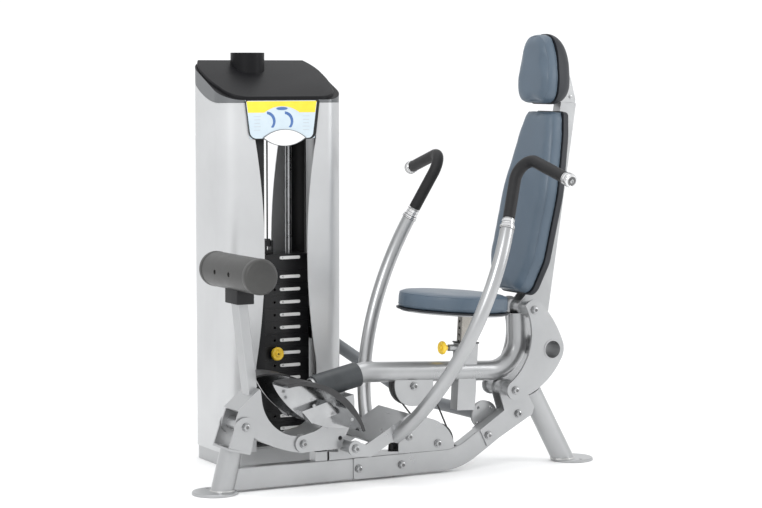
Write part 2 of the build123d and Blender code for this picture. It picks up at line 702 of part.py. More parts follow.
def tower_cable():
    """From the top of the stack cable over both crosshead pulleys and down to the link tube."""
    z = TOWER_PULLEY_Z
    left, right = TOWER_PULLEYS
    top = z + TOWER_WRAP_R
    k = TOWER_WRAP_R * sqrt(0.5)
    over = ThreePointArc((TOWER_X, STACK_Y, z), (left - k, STACK_Y, z + k), (left, STACK_Y, top))
    across = Line((left, STACK_Y, top), (right, STACK_Y, top))
    down = ThreePointArc((right, STACK_Y, top), (right + k, STACK_Y, z + k), (right + TOWER_WRAP_R, STACK_Y, z))
    drop_top = (DROP_X, STACK_Y, z)
    corner = (DROP_X, STACK_Y, DROP_Z)
    bend = (FLANGE[0], LINK_TUBE_Y, FLANGE[1] - 6)
    head = swept(Wire([over, across, down]), Circle(CABLE_R))
    end = (FLANGE[0], RAIL_W / 2 + 6 + 16, FLANGE[1])
    middle = tuple((Vector(*corner) + Vector(*bend)) * 0.5)
    down_to_tube = FilletPolyline(drop_top, corner, middle, radius=TOWER_WRAP_R)
    in_tube = FilletPolyline(middle, bend, end, radius=LINK_BEND_R)
    through = Wire(down_to_tube.edges() + in_tube.edges())
    return group(head, swept(through, Circle(CABLE_R)))


SELECTOR_GRIP_R = 26.0
SELECTOR_NECK = (12.0, 8.0)    # radius and length of the flared neck
GRIP_H = 24.0


def selector_pin():
    front = STACK_Y - WEIGHT_D / 2
    pin = cross_pin((TOWER_X, PINNED_Z), SELECTOR_R, front - 6, STACK_Y + STEM_R)
    neck_r, neck_h = SELECTOR_NECK
    knob = knob_along_z(neck_r, SELECTOR_GRIP_R, neck_h, GRIP_H)
    knob = Pos(TOWER_X, front - GAP, PINNED_Z) * Rot(90, 0, 0) * knob
    return knob + pin


def link_tube_solid(radius, bore=0.0):
    start = (FLANGE[0], RAIL_W / 2 + 6 + 16, FLANGE[1])
    corner = (FLANGE[0], LINK_TUBE_Y, FLANGE[1] - 6)
    path = FilletPolyline(start, corner, LINK_TUBE_END, radius=LINK_BEND_R)
    return swept(path, ring(radius, bore))


def link_tube():
    y0 = RAIL_W / 2 + 6 + 8
    reach = upright_box(40, 80, BASE_H, CROSSHEAD_Z[0], TOWER_X + UPRIGHT_X, STACK_Y)
    tube = keep_largest(link_tube_solid(LINK_TUBE_R, LINK_TUBE_R - 3) - reach)
    disc = side_plate(Pos(*FLANGE) * ring(FLANGE_R, LINK_TUBE_R - 3), y0, 8)
    return group(tube, plate_holes(disc, flange_bolts(), 6, 60))


def flange_bolts():
    x, z = FLANGE
    return [(x + 40 * cos(a), z + 40 * sin(a)) for a in (radians(45 + 90 * k) for k in range(4))]


def flange_disc():
    disc = side_plate(Pos(*FLANGE) * Circle(FLANGE_R), RAIL_W / 2 + 6, 8)
    return plate_holes(disc, flange_bolts(), 6, 60)


# ---------------------------------------------------------------- front link and counterweight
DRUM_R = 63.5
DRUM_L = 410.0
DRUM_CENTRE = (94.0, 790.0)
BAR_FOOT = (141.0, 342.0)
BAR_TOP = (99.0, 683.0)
BAR_W = 60.0
BAR_T = 40.0
BLOCK_Z = (681.0, 738.0)
CAP_EDGE = ((69.0, 296.0), (155.0, 369.0))
PIVOT_PLAY = 2.6               # radial room left round the front carriage pin


def crescent_profile():
    x, z = FRONT_PIVOT
    left, right = CAP_EDGE
    return closed(
        Line(left, right), Line(right, (159, 337)),
        ThreePointArc((159, 337), (200, 243), (300, 193)),
        ThreePointArc((300, 193), (CARRIAGE_PIN[0] + 34.7, CARRIAGE_PIN[1]), (305, 133)),
        ThreePointArc((305, 133), (215, 158), (125, 202)),
        Line((125, 202), (x + 8, z - 39.2)),
        ThreePointArc((x + 8, z - 39.2), (x - 38.6, z - 10), (x - 36, z + 17.4)),
        Line((x - 36, z + 17.4), left))


def cap_plane():
    (x0, z0), (x1, z1) = CAP_EDGE
    length = hypot(x1 - x0, z1 - z0)
    return Plane(origin=((x0 + x1) / 2, 0, (z0 + z1) / 2), x_dir=((x1 - x0) / length, 0, (z1 - z0) / length),
                 z_dir=(-(z1 - z0) / length, 0, (x1 - x0) / length)), length


def crescent_plates():
    plates = both_plates(crescent_profile(), CRESCENT_Y, PLATE)
    plates = [plate_holes(plate, [FRONT_PIVOT, CARRIAGE_PIN], BOLT_R + RUN) for plate in plates]
    sleeve = cross_tube(FRONT_PIVOT, 23, CRESCENT_Y, BOLT_R + RUN)
    plane, length = cap_plane()
    cap = extrude(plane * Rectangle(length, 2 * (CRESCENT_Y + PLATE)), PLATE)
    return plates[0] + plates[1] + sleeve + cap


def counterweight_bar():
    foot = (BAR_FOOT[0] + 6, 0, BAR_FOOT[1] - 48)
    axis = lean(foot, (BAR_TOP[0], 0, BAR_TOP[1] + 4))
    plane = Plane(origin=foot, x_dir=(0, 1, 0), z_dir=axis)
    bar = extrude(plane * RectangleRounded(BAR_W, BAR_T, 5), axis.length)
    cut, length = cap_plane()
    cut = cut.offset(PLATE)
    bar -= extrude(cut * Rectangle(400, 400), -300)
    low, high = BLOCK_Z
    block = Pos(BAR_TOP[0] + 2, 0, (low + high) / 2) * Box(66, 108, high - low)
    block = fillet(block.edges().filter_by(Axis.Z), 4)
    return keep_largest(bar + block - cross_tube(DRUM_CENTRE, DRUM_R, 300))


def counterweight_drum():
    drum = cross_tube(DRUM_CENTRE, DRUM_R, DRUM_L / 2)
    drum = fillet(drum.edges(), 12)
    x, z = DRUM_CENTRE
    for y in (-60, 60):
        drum -= Pos(x - DRUM_R, y, z) * Rot(0, 90, 0) * Cylinder(9, 16)
    return drum


def front_link_pins():
    y = CLEVIS_Y + PLATE + GAP
    shank = cross_pin(CARRIAGE_PIN, BOLT_R, -y, y)
    heads = [hex_bolt(CARRIAGE_PIN, side * y, side, 1) for side in (-1, 1)]
    return shank + heads[0] + heads[1]


# ---------------------------------------------------------------- rear link
PIPE_CENTRE = (1363.0, 450.0)
PIPE_R = 38.0
PIPE_BORE = 33.0


def rear_link_profile():
    return closed(
        ThreePointArc((1243, 622), (1281, 643), (1308, 632)),
        ThreePointArc((1308, 632), (1368, 560), (1412, 470)),
        ThreePointArc((1412, 470), (1413, 440), (1398, 405)),
        ThreePointArc((1398, 405), (1330, 325), (1212, 270)),
        ThreePointArc((1212, 270), (1166, 292), (1178, 333)),
        ThreePointArc((1178, 333), (1262, 450), (1243, 622)))


def rear_link_plates():
    plates = both_plates(rear_link_profile(), REAR_LINK_Y, LINK_PLATE)
    plates = [plate_holes(plate, [REAR_PIVOT, BACK_PIVOT], BOLT_R + RUN) for plate in plates]
    return group([plate_holes(plate, [PIPE_CENTRE], PIPE_R + RUN) for plate in plates])


def rear_link_pipe():
    return cross_tube(PIPE_CENTRE, PIPE_R, REAR_LINK_Y + LINK_PLATE + 2, PIPE_BORE)


def through_bolt(centre, y):
    shank = cross_pin(centre, BOLT_R, -y, y)
    return shank + hex_bolt(centre, y, 1, 1) + hex_bolt(centre, -y, -1, 1)


def rear_link_bolts():
    y = REAR_LINK_Y + LINK_PLATE
    return group(through_bolt(REAR_PIVOT, y), through_bolt(BACK_PIVOT, y))


# ---------------------------------------------------------------- carriage
CARRIAGE_R = 38.1
CARRIAGE_WALL = 4.0
CARRIAGE_PATH = ((385, 0, 353), (600, 0, 400), (1268, 0, 365), (1262, 0, 588))
CARRIAGE_BEND_R = 120.0
FOAM_R = 46.0
FOAM_X = (395.0, 575.0)
FIN_T = 12.0
BRACKET_R = 82.0
SLEEVE_R = 28.0
HUB_Y = 26.0
HUB_T = 6.0


def carriage_outer():
    path = FilletPolyline(*CARRIAGE_PATH, radius=CARRIAGE_BEND_R)
    return swept(path, Circle(CARRIAGE_R))


def carriage_tube():
    path = FilletPolyline(*CARRIAGE_PATH, radius=CARRIAGE_BEND_R)
    tube = swept(path, ring(CARRIAGE_R, CARRIAGE_R - CARRIAGE_WALL))
    tube -= sleeve_outer()
    tube -= cross_tube(BACK_PIVOT, SLEEVE_R, 200)
    x, z = CARRIAGE_PULLEY
    slot = Pos(x, 0, z) * Rot(90, 0, 0) * Cylinder(PULLEY_R + 5, PULLEY_W + 8)
    return keep_largest(tube - slot)


def foam_roll():
    start, end = Vector(*CARRIAGE_PATH[0]), Vector(*CARRIAGE_PATH[1])
    along = end - start
    points = [start + along * ((x - start.X) / along.X) for x in FOAM_X]
    roll = rod(tuple(points[0]), tuple(points[1]), FOAM_R, CARRIAGE_R + GAP)
    roll = fillet(roll.edges().filter_by(GeomType.CIRCLE).group_by(SortBy.LENGTH)[-1], 4)
    return roll - Pos(sum(FIN_X) / 2, 0, 310) * Box(FIN_X[1] - FIN_X[0] + 4, FIN_T + 2, 90)


FIN_X = (446.0, 522.0)
BRACKET_TOP = ((440.0, 313.0), (524.0, 331.0))


def bracket_profile():
    x, z = CARRIAGE_PIN
    left, right = BRACKET_TOP
    return closed(
        ThreePointArc((x + 2, z + 32), (x - 31.5, z), (x, z - 32)),
        Line((x, z - 32), (464, 137)),
        ThreePointArc((464, 137), (476, 143), (477, 155)),
        Line((477, 155), (500, 200)),
        ThreePointArc((500, 200), (521, 250), right),
        Line(right, left),
        Line(left, (436, 300)),
        ThreePointArc((436, 300), (405, 232), (346, 203)),
        Line((346, 203), (x + 2, z + 32)))


def front_bracket():
    plates = both_plates(bracket_profile(), CLEVIS_Y, PLATE)
    plates = [plate_holes(plate, [(468, 175)], BOLT_R) for plate in plates]
    plates = [plate_holes(plate, [CARRIAGE_PIN], BOLT_R + PIVOT_PLAY) for plate in plates]
    (x0, z0), (x1, z1) = BRACKET_TOP
    cross = side_plate(make_face(Polyline((x0, z0), (x1, z1), (x1, z1 - PLATE), (x0, z0 - PLATE), close=True)),
                       -CLEVIS_Y, 2 * CLEVIS_Y)
    low, high = FIN_X
    fin = Pos((low + high) / 2, 0, 330) * Box(high - low, FIN_T, 60)
    fin &= side_plate(make_face(Polyline((x0, z0 - 2), (x1, z1 - 2), (x1, z1 + 60), (x0, z0 + 60), close=True)), -20, 40)
    tie = cross_tube((468, 175), 14, CLEVIS_Y, BOLT_R)
    upper_tie = cross_tube((488, 284), 12, CLEVIS_Y)
    bracket = plates[0] + plates[1] + cross + (fin - carriage_outer()) + tie + upper_tie
    return bracket


# ---------------------------------------------------------------- foot plates
FOOT_Y = (70.0, 195.0)
FOOT_ARC = ((196.0, 396.0), (385.0, 365.0), (500.0, 215.0))
FOOT_STEEL = 6.0
TREAD_T = 6.0


def circle_centre(a, b, c):
    """Centre and radius of the circle through three points."""
    ax, az = a
    bx, bz = b[0] - ax, b[1] - az
    cx, cz = c[0] - ax, c[1] - az
    d = 2 * (bx * cz - bz * cx)
    b2, c2 = bx * bx + bz * bz, cx * cx + cz * cz
    ux, uz = (cz * b2 - bz * c2) / d, (bx * c2 - cx * b2) / d
    return ax + ux, az + uz, hypot(ux, uz)


def arc_band(inner, outer, trim=0.0):
    """The band between two distances outside the foot plate's arc, trimmed by degrees at its ends."""
    a, b, c = FOOT_ARC
    x, z, r = circle_centre(a, b, c)
    angles = [degrees(atan2(p[1] - z, p[0] - x)) for p in (a, b, c)]
    angles = [angles[0] - trim, angles[1], angles[2] + trim]

    def at(angle, radius):
        return x + radius * cos(radians(angle)), z + radius * sin(radians(angle))

    low = [at(angle, r + inner) for angle in angles]
    high = [at(angle, r + outer) for angle in angles]
    return closed(ThreePointArc(*low), Line(low[2], high[2]), ThreePointArc(high[2], high[1], high[0]),
                  Line(high[0], low[0]))


LENS_LOW = (303.0, 268.0)       # middle of the lower edge of the side flange
FOOT_BAR = ((290, 291), (395, 320), (455, 279), (330, 245))
FOOT_BAR_Y = (78.0, 118.0)


def lens():
    """The side flange: the space between the tread's arc and a flatter curve below it."""
    x, z, r = circle_centre(*FOOT_ARC)
    a, b, c = [Vector(p[0] - x, p[1] - z).normalized() * (r - FOOT_STEEL) + Vector(x, z) for p in FOOT_ARC]
    return closed(ThreePointArc(a, b, c), ThreePointArc(c, Vector(*LENS_LOW), a))


def foot_plates():
    depth = FOOT_Y[1] - FOOT_Y[0]
    skin = side_plate(arc_band(-FOOT_STEEL, 0), FOOT_Y[0], depth)
    flange = side_plate(lens(), FOOT_Y[0], PLATE)
    low, high = FOOT_BAR_Y
    bar = side_plate(make_face(Polyline(*FOOT_BAR, close=True)), low, high - low)
    return group(pair(skin + flange + bar - cross_tube((420, 303), 6, 300)))


def foot_treads():
    depth = FOOT_Y[1] - FOOT_Y[0]
    tread = side_plate(arc_band(0, TREAD_T, 1), FOOT_Y[0] + 3, depth - 6)
    return group(pair(tread))


# ---------------------------------------------------------------- seat
SEAT_LEAN = 3.0
SLEEVE_X = 80.0
SLEEVE_Y = 54.0
SLEEVE_WALL = 5.0
SLEEVE_Z = (232.0, 484.0)
SEAT_FOOT = (1011.0, 0, 0)
SEAT_POST_X = 62.0
SEAT_POST_Y = 38.0
POST_Z = (300.0, 640.0)
BUSH_H = 44.0
SEAT_PIN_Z = 466.0
SEAT_PIN_R = 5.0
SEAT_PIN_IN = 8.0              # how far the pin can be pushed into the post
HOLE_PITCH = 25.0
SEAT_CENTRE = (978.0, 0, 602.0)
SEAT_TILT = 4.0
PAN_R = 196.0
PAN_T = 12.0
SEAT_R = 214.0
SEAT_PAD_T = 66.0
HEAD_PLATE_T = 6.0


def seat_axis(shape):
    a = radians(SEAT_LEAN)
    return Plane(origin=SEAT_FOOT, x_dir=(cos(a), 0, -sin(a)), z_dir=(sin(a), 0, cos(a))).location * shape


def seat_top(shape):
    a = radians(SEAT_TILT)
    return Plane(origin=SEAT_CENTRE, x_dir=(cos(a), 0, -sin(a)), z_dir=(sin(a), 0, cos(a))).location * shape


def upright(x, y, low, high):
    return Pos(0, 0, low) * extrude(RectangleRounded(x, y, 4), high - low)


def sleeve_outer():
    return seat_axis(upright(SLEEVE_X, SLEEVE_Y, *SLEEVE_Z))


def pin_bar(radius, x_from, x_to):
    return Pos((x_from + x_to) / 2, 0, SEAT_PIN_Z) * Rot(0, 90, 0) * Cylinder(radius, abs(x_to - x_from))


BARREL_R = 13.0
BARREL_L = 34.0
KNOB_R = 26.0
KNOB_NECK = (12.0, 14.0)


def seat_sleeve():
    low, high = SLEEVE_Z
    body = upright(SLEEVE_X, SLEEVE_Y, low, high)
    body += pin_bar(BARREL_R, -SLEEVE_X / 2 - BARREL_L, -SLEEVE_X / 2 + 1)
    body -= upright(SLEEVE_X - 2 * SLEEVE_WALL, SLEEVE_Y - 2 * SLEEVE_WALL, low - 1, high + 1)
    body -= pin_bar(SEAT_PIN_R + RUN, -SLEEVE_X / 2 - BARREL_L - 1, 0)
    return seat_axis(body)


def seat_bush():
    low, high = SLEEVE_Z
    inner_x, inner_y = SLEEVE_X - 2 * SLEEVE_WALL, SLEEVE_Y - 2 * SLEEVE_WALL
    bore = upright(SEAT_POST_X + 2 * GAP, SEAT_POST_Y + 2 * GAP, low - 1, high + 20)
    top = upright(inner_x, inner_y, high - BUSH_H, high) + upright(SLEEVE_X + 6, SLEEVE_Y + 6, high, high + 5)
    foot = upright(inner_x, inner_y, low, low + BUSH_H)
    top = top - bore - pin_bar(SEAT_PIN_R + RUN, -60, 0)
    return group(seat_axis(top), seat_axis(foot - bore))


def seat_post():
    low, high = POST_Z
    post = upright(SEAT_POST_X, SEAT_POST_Y, low, high) - upright(SEAT_POST_X - 7, SEAT_POST_Y - 7, low - 1, high + 1)
    for k in range(-2, 5):
        post -= Pos(0, 0, k * HOLE_PITCH) * pin_bar(SEAT_PIN_R + RUN, -60, 0)
    post = seat_axis(post)
    post -= seat_top(Pos(0, 0, 200 - HEAD_PLATE_T) * Box(600, 600, 400))
    plate = seat_top(Pos(60, 0, -HEAD_PLATE_T / 2) * Box(190, 120, HEAD_PLATE_T))
    return post + plate


def seat_pan():
    return seat_top(Pos(0, 0, PAN_T / 2) * Cylinder(PAN_R, PAN_T))


def seat_pad():
    pad = Pos(0, 0, PAN_T + SEAT_PAD_T / 2) * Cylinder(SEAT_R, SEAT_PAD_T)
    pad = fillet(pad.edges().group_by(Axis.Z)[-1], 24)
    pad = fillet(pad.edges().group_by(Axis.Z)[0], 10)
    return seat_top(pad)


def seat_knob():
    face = -SLEEVE_X / 2 - BARREL_L - GAP - SEAT_PIN_IN
    pin = pin_bar(SEAT_PIN_R, face - 2, -SEAT_POST_X / 2 - 2 * GAP)
    neck_r, neck_h = KNOB_NECK
    knob = knob_along_z(neck_r, KNOB_R, neck_h, GRIP_H)
    knob = Pos(face, 0, SEAT_PIN_Z) * Rot(0, -90, 0) * knob
    return seat_axis(knob + pin)


# ---------------------------------------------------------------- carriage pulley, back post and pads
BACK_LEAN = 12.5
BACK_ORIGIN = (1317.5, 0, 834.0)
BACK_SHELL_T = 26.0
BACK_PAD_T = 52.0
POST_LEAN = 8.64
POST_ORIGIN = (1355.0, 0, 834.0)
BACK_POST_T = 68.0
BACK_POST_W = 50.0
BACK_POST_U = (-246.0, 566.0)
HEAD_LEAN = 2.2
HEAD_ORIGIN = (1376.0, 0, 1520.0)
HEAD_SHELL_T = 72.0            # the moulded shell bulges behind the pad
HEAD_SHELL_TAPER = 20.0
HEAD_SHELL_EDGE = 12.0
HEAD_PAD_T = 52.0
BACK_CORNERS = ((0, -184.0), (118.0, -184.0), (168.0, -50.0), (167.0, 222.0), (98.0, 531.0), (0, 531.0))
BACK_CORNER_R = (60.0, 110.0, 500.0, 26.0)
HEAD_CORNERS = ((0, -144.0), (100.0, -144.0), (114.0, -62.0), (86.0, 60.0), (40.0, 131.0), (0, 131.0))
HEAD_CORNER_R = (62.0, 80.0, 120.0, 40.0)
PAD_FRONT_R = (18.0, 16.0)     # front edges of the back pad and the head pad
PAD_REAR_R = (5.0, 6.0)


def upper_pulley_bracket():
    x, z = CARRIAGE_PULLEY
    plates = both_plates(Pos(x, z + 6) * Circle(BRACKET_R), CHEEK_Y, 6)
    plates = [plate_holes(plate, [CARRIAGE_PULLEY], BOLT_R) for plate in plates]
    tube = carriage_outer()
    return group([min((plate - tube).solids(), key=lambda s: s.center().Z) for plate in plates])


def back_face(shape):
    a = radians(BACK_LEAN)
    return Plane(origin=BACK_ORIGIN, x_dir=(0, 1, 0), z_dir=(cos(a), 0, -sin(a))).location * shape


def post_face(shape):
    a = radians(POST_LEAN)
    return Plane(origin=POST_ORIGIN, x_dir=(0, 1, 0), z_dir=(cos(a), 0, -sin(a))).location * shape


def head_face(shape):
    a = radians(HEAD_LEAN)
    return Plane(origin=HEAD_ORIGIN, x_dir=(0, 1, 0), z_dir=(cos(a), 0, -sin(a))).location * shape


def pad_outline(points, radii):
    """A symmetric outline from the corners of its right half, each rounded to its own radius."""
    return symmetric(*FilletPolyline(*points, radius=radii).edges())


def back_outline():
    return pad_outline(BACK_CORNERS, BACK_CORNER_R)


def head_outline():
    return pad_outline(HEAD_CORNERS, HEAD_CORNER_R)


def slab(outline, low, high, front=0.0, back=0.0):
    body = Pos(0, 0, low) * extrude(outline, high - low)
    if front:
        body = fillet(body.edges().group_by(Axis.Z)[0], front)
    if back:
        body = fillet(body.edges().group_by(Axis.Z)[-1], back)
    return body


def head_shell():
    """The bulging back of the head rest, narrower towards the rear."""
    rim = offset(head_outline(), amount=-5)
    shell = extrude(rim, HEAD_SHELL_T, taper=HEAD_SHELL_TAPER)
    return fillet(shell.edges().group_by(Axis.Z)[-1], HEAD_SHELL_EDGE)


def pad_shells():
    back = slab(offset(back_outline(), amount=-4), -BACK_SHELL_T, 0, 0, 10)
    return group(back_face(back), head_face(head_shell()))


def back_pad():
    front = -BACK_SHELL_T - BACK_PAD_T
    return back_face(slab(back_outline(), front, -BACK_SHELL_T, PAD_FRONT_R[0], PAD_REAR_R[0]))


def head_pad():
    return head_face(slab(head_outline(), -HEAD_PAD_T, 0, PAD_FRONT_R[1], PAD_REAR_R[1]))


def shell_blocks():
    """Blocks that carry the back shell on the post."""
    low = Pos(0, -40, 23) * Box(BACK_POST_W, 60, 46)
    high = Pos(0, 470, 6) * Box(BACK_POST_W, 60, 12)
    return back_face(low) + back_face(high)


def back_post():
    low, high = BACK_POST_U
    middle = (low + high) / 2
    post = post_face(Pos(0, middle, BACK_POST_T / 2) * Box(BACK_POST_W, high - low, BACK_POST_T))
    bore = post_face(Pos(0, middle + 20, BACK_POST_T / 2) * Box(BACK_POST_W - 8, high - low - 48, BACK_POST_T - 8))
    x, z = BACK_PIVOT
    hub = both_plates(hull((x, z, 36), (x + 60, z + 4, 34), (x + 66, z + 84, 26)), HUB_Y, HUB_T)
    front = back_face(Pos(0, 34, -50) * Box(400, 400, 100))
    heel = Pos(x + 50, 0, z + 40) * Box(40, 2 * HUB_Y, 60) - carriage_outer()
    hub = [side - carriage_outer() - front for side in hub]
    bracket = side_plate(hull((1462, 1470, 22), (1478, 1395, 26), (1462, 1380, 16)), -BACK_POST_W / 2, BACK_POST_W)
    bracket -= head_face(Pos(0, 0, HEAD_SHELL_T - 100) * Box(400, 400, 200))
    sleeve = cross_tube(BACK_PIVOT, SLEEVE_R, REAR_LINK_Y - GAP)
    body = post - bore - carriage_outer() + hub[0] + hub[1] + heel + sleeve + bracket + shell_blocks()
    return keep_largest(body - cross_tube(BACK_PIVOT, BOLT_R + RUN, 200))


# ---------------------------------------------------------------- press arms
ARM_R = 25.4
ARM_WALL = 3.5
COLLAR_L = 14.0
COLLAR_R = 27.5
SMALL_COLLAR_L = 28.0
SMALL_COLLAR_R = 23.0
HANDLE_CAP_R = 24.0
HANDLE_CAP_T = 12.0
ARM_LEAN = 22.3
ARM_ORIGIN = (695.0, 0, 210.0)
ARM_BOW = (401.0, 557.0)        # the widest point of the arm: out from the middle, along the arm
ARM_ARC_R = 765.0
ARM_FOOT_S = -62.0
ARM_END_S = 784.0
HANDLE_CORNER = (269.0, 1077.0)
HANDLE_R = 14.0
HANDLE_BEND_R = 62.0
HANDLE_END = (1120.0, 577.0, 1123.0)
GRIP_R = 18.8
YOKE_T = 10.0
YOKE_H = 50.0
YOKE_TOP = ((543.0, 149.0), (728.0, 252.6))


def arm_point(y, s):
    a = radians(ARM_LEAN)
    return ARM_ORIGIN[0] + s * sin(a), y, ARM_ORIGIN[2] + s * cos(a)


def arm_arc_point(s):
    bow_y, bow_s = ARM_BOW
    return arm_point(bow_y - ARM_ARC_R + sqrt(ARM_ARC_R ** 2 - (s - bow_s) ** 2), s)


def collar_axis():
    """Where the handle leaves the arm tube, and its direction there."""
    start = Vector(*arm_arc_point(ARM_END_S))
    return start, (Vector(*arm_point(*HANDLE_CORNER)) - start).normalized()


def below_collar(shape):
    start, direction = collar_axis()
    return split(shape, Plane(origin=start, z_dir=direction), keep=Keep.BOTTOM)


def arm_tube():
    end = ARM_END_S + COLLAR_L
    middle = (ARM_FOOT_S + end) / 2
    path = ThreePointArc(arm_arc_point(ARM_FOOT_S), arm_arc_point(middle), arm_arc_point(end))
    tube = below_collar(swept(path, ring(ARM_R, ARM_R - ARM_WALL)))
    return tube - Pos(ARM_ORIGIN) * Box(400, 2 * (YOKE_Y + YOKE_T), 400)


def handle_path():
    return FilletPolyline(arm_arc_point(ARM_END_S), arm_point(*HANDLE_CORNER), HANDLE_END, radius=HANDLE_BEND_R)


def handle_bar():
    bar = swept(handle_path(), Circle(HANDLE_R))
    path = ThreePointArc(arm_arc_point(ARM_END_S - 20), arm_arc_point(ARM_END_S), arm_arc_point(ARM_END_S + 10))
    plug = below_collar(swept(path, Circle(ARM_R - ARM_WALL / 2)))
    return bar + plug


def arm_tubes():
    return group(pair(arm_tube() + handle_bar()))


GRIP_START = 46.0


def ring_along(start, direction, shift, length, radius, bore):
    a = start + direction * shift
    return rod(tuple(a), tuple(a + direction * length), radius, bore)


def hand_grip():
    start, direction = collar_axis()
    grip_path = FilletPolyline(tuple(start + direction * GRIP_START), arm_point(*HANDLE_CORNER), HANDLE_END,
                               radius=HANDLE_BEND_R)
    return swept(grip_path, ring(GRIP_R, HANDLE_R + RUN))


def grip_collar():
    start, direction = collar_axis()
    corner = Vector(*arm_point(*HANDLE_CORNER))
    wide = ring_along(start, direction, GAP, COLLAR_L, COLLAR_R, HANDLE_R + RUN)
    slim = ring_along(start, direction, GAP + COLLAR_L, SMALL_COLLAR_L, SMALL_COLLAR_R, HANDLE_R + RUN)
    out = (Vector(*HANDLE_END) - corner).normalized()
    end = Vector(*HANDLE_END)
    cap = rod(tuple(end + out * GAP), tuple(end + out * (GAP + HANDLE_CAP_T)), HANDLE_CAP_R)
    cap = fillet(cap.faces().sort_by(Axis.Y)[-1].edges(), 5)
    return [wide + slim, cap]


def hand_grips():
    return group(pair(hand_grip()))


def grip_collars():
    solids = grip_collar()
    return group(solids, [mirrored(solid) for solid in solids])


def arm_yoke():
    (x0, z0), (x1, z1) = YOKE_TOP
    length = hypot(x1 - x0, z1 - z0)
    nx, nz = (z1 - z0) / length * YOKE_H, -(x1 - x0) / length * YOKE_H
    gx, gz = ARM_PIVOT
    body = make_face(Polyline((x0, z0), (x1, z1), (x1 + nx, z1 + nz), (x0 + nx, z0 + nz), close=True))
    body += Pos(gx, gz) * Circle(28)
    body += make_face(Polyline((gx, gz + 28), (x0 + 5, z0 + 3), (x0 + nx, z0 + nz), (gx, gz - 28), close=True))
    flanges = both_plates(body, YOKE_Y, YOKE_T)
    flanges = [plate_holes(flange, [ARM_PIVOT], BOLT_R + RUN) for flange in flanges]
    ux, uz = (x1 - x0) / length, (z1 - z0) / length
    wx, wz = x0 + ux * 28, z0 + uz * 28
    dx, dz = nx / YOKE_H * PLATE, nz / YOKE_H * PLATE
    web = make_face(Polyline((wx, wz), (x1, z1), (x1 + dx, z1 + dz), (wx + dx, wz + dz), close=True))
    web = side_plate(web, -YOKE_Y, 2 * YOKE_Y)
    low = BUMPER_TOP + GAP
    lug = Pos(BUMPER_X - 3, 0, (low + 240) / 2) * Box(20, 36, 240 - low)
    return flanges[0] + flanges[1] + web + lug


# ---------------------------------------------------------------- bolts
def frame_bolts():
    solids = [through_bolt(FRONT_PIVOT, CLEVIS_Y + PLATE), through_bolt(ARM_PIVOT, YOKE_Y + YOKE_T)]
    for centre in (RAIL_PULLEY, BRACKET_BOLT):
        solids.append(through_bolt(centre, CHEEK_Y + 6))
    z = RAIL_Z + RAIL_H / 2
    for x in (565, 745):
        for side in (-1, 1):
            solids.append(hex_bolt((x, z), side * (RAIL_W / 2 + SPLICE_T), side, 0))
    for centre in ((1118, 130), (1250, 203)):
        for side in (-1, 1):
            solids.append(hex_bolt(centre, side * (RAIL_W / 2 + 6), side, 0))
    return group(solids)


def carriage_bolts():
    solids = [through_bolt(CARRIAGE_PULLEY, CHEEK_Y + 6)]
    for u in (-40, 330):
        for y in (-40, 40):
            button = Pos(y, u, 3) * Cylinder(9, 6)
            solids.append(back_face(button))
    return group(solids)


NODES = {
    "front_stand": front_stand,
    "front_rail": front_rail,
    "splice_plates": splice_plates,
    "rear_rail": rear_rail,
    "rear_stand": rear_stand,
    "rear_bracket": lambda: rear_bracket() + flange_disc(),
    "arm_mount": lambda: arm_mount() + carriage_rest(),
    "rubber_bumpers": lambda: group(rubber_bumpers(), stack_bumpers()),
    "lower_pulley_bracket": lower_pulley_bracket,
    "link_tube": link_tube,
    "lower_cable": lower_cable,
    "frame_bolts": frame_bolts,
    "tower_base": tower_base,
    "tower_frame": lambda: group(tower_uprights(), tower_crosshead(), tower_pulley_axles()),
    "left_shroud": lambda: shroud(-1),
    "right_shroud": lambda: shroud(1),
    "top_cap": lambda: group(top_cap(), cup_tray()),
    "instruction_board": instruction_board,
    "guide_rods": guide_rods,
    "resting_plates": resting_plates,
    "tower_cable": tower_cable,
    "rail_pulley": lambda: pulley_across(RAIL_PULLEY, PULLEY_R, CABLE_WRAP_R, PULLEY_W),
    "carriage_pulley": lambda: pulley_across(CARRIAGE_PULLEY, PULLEY_R, CABLE_WRAP_R, PULLEY_W),
    "tower_pulley_left": lambda: tower_pulley(TOWER_PULLEYS[0], TOWER_PULLEY_Z),
    "tower_pulley_right": lambda: tower_pulley(TOWER_PULLEYS[1], TOWER_PULLEY_Z),
    "tower_pulley_low": lambda: tower_pulley(*LOW_PULLEY),
    "rear_link_plates": rear_link_plates,
    "rear_link_pipe": rear_link_pipe,
    "rear_link_bolts": rear_link_bolts,
    "carriage_tube": carriage_tube,
    "foam_roll": foam_roll,
    "front_bracket": front_bracket,
    "foot_plates": foot_plates,
    "foot_treads": foot_treads,
    "seat_sleeve": seat_sleeve,
    "seat_bush": seat_bush,
    "upper_pulley_bracket": upper_pulley_bracket,
    "back_post": back_post,
    "pad_shells": pad_shells,
    "back_pad": back_pad,
    "head_pad": head_pad,
    "carriage_bolts": carriage_bolts,
    "upper_cable": upper_cable,
    "seat_post": seat_post,
    "seat_pan": seat_pan,
    "seat_pad": seat_pad,
    "seat_knob": seat_knob,
    "crescent_plates": crescent_plates,
    "counterweight_bar": counterweight_bar,
    "counterweight_drum": counterweight_drum,
    "front_link_pins": front_link_pins,
    "arm_yoke": arm_yoke,
    "arm_tubes": arm_tubes,
    "hand_grips": hand_grips,
    "grip_collars": grip_collars,
    "top_plate": top_plate,
    "lifted_plates": lifted_plates,
    "stack_cable": stack_cable,
    "selector_pin": selector_pin,
}


os.makedirs("parts", exist_ok=True)
for node, make in NODES.items():
    export_step(make(), f"parts/{node}.step")
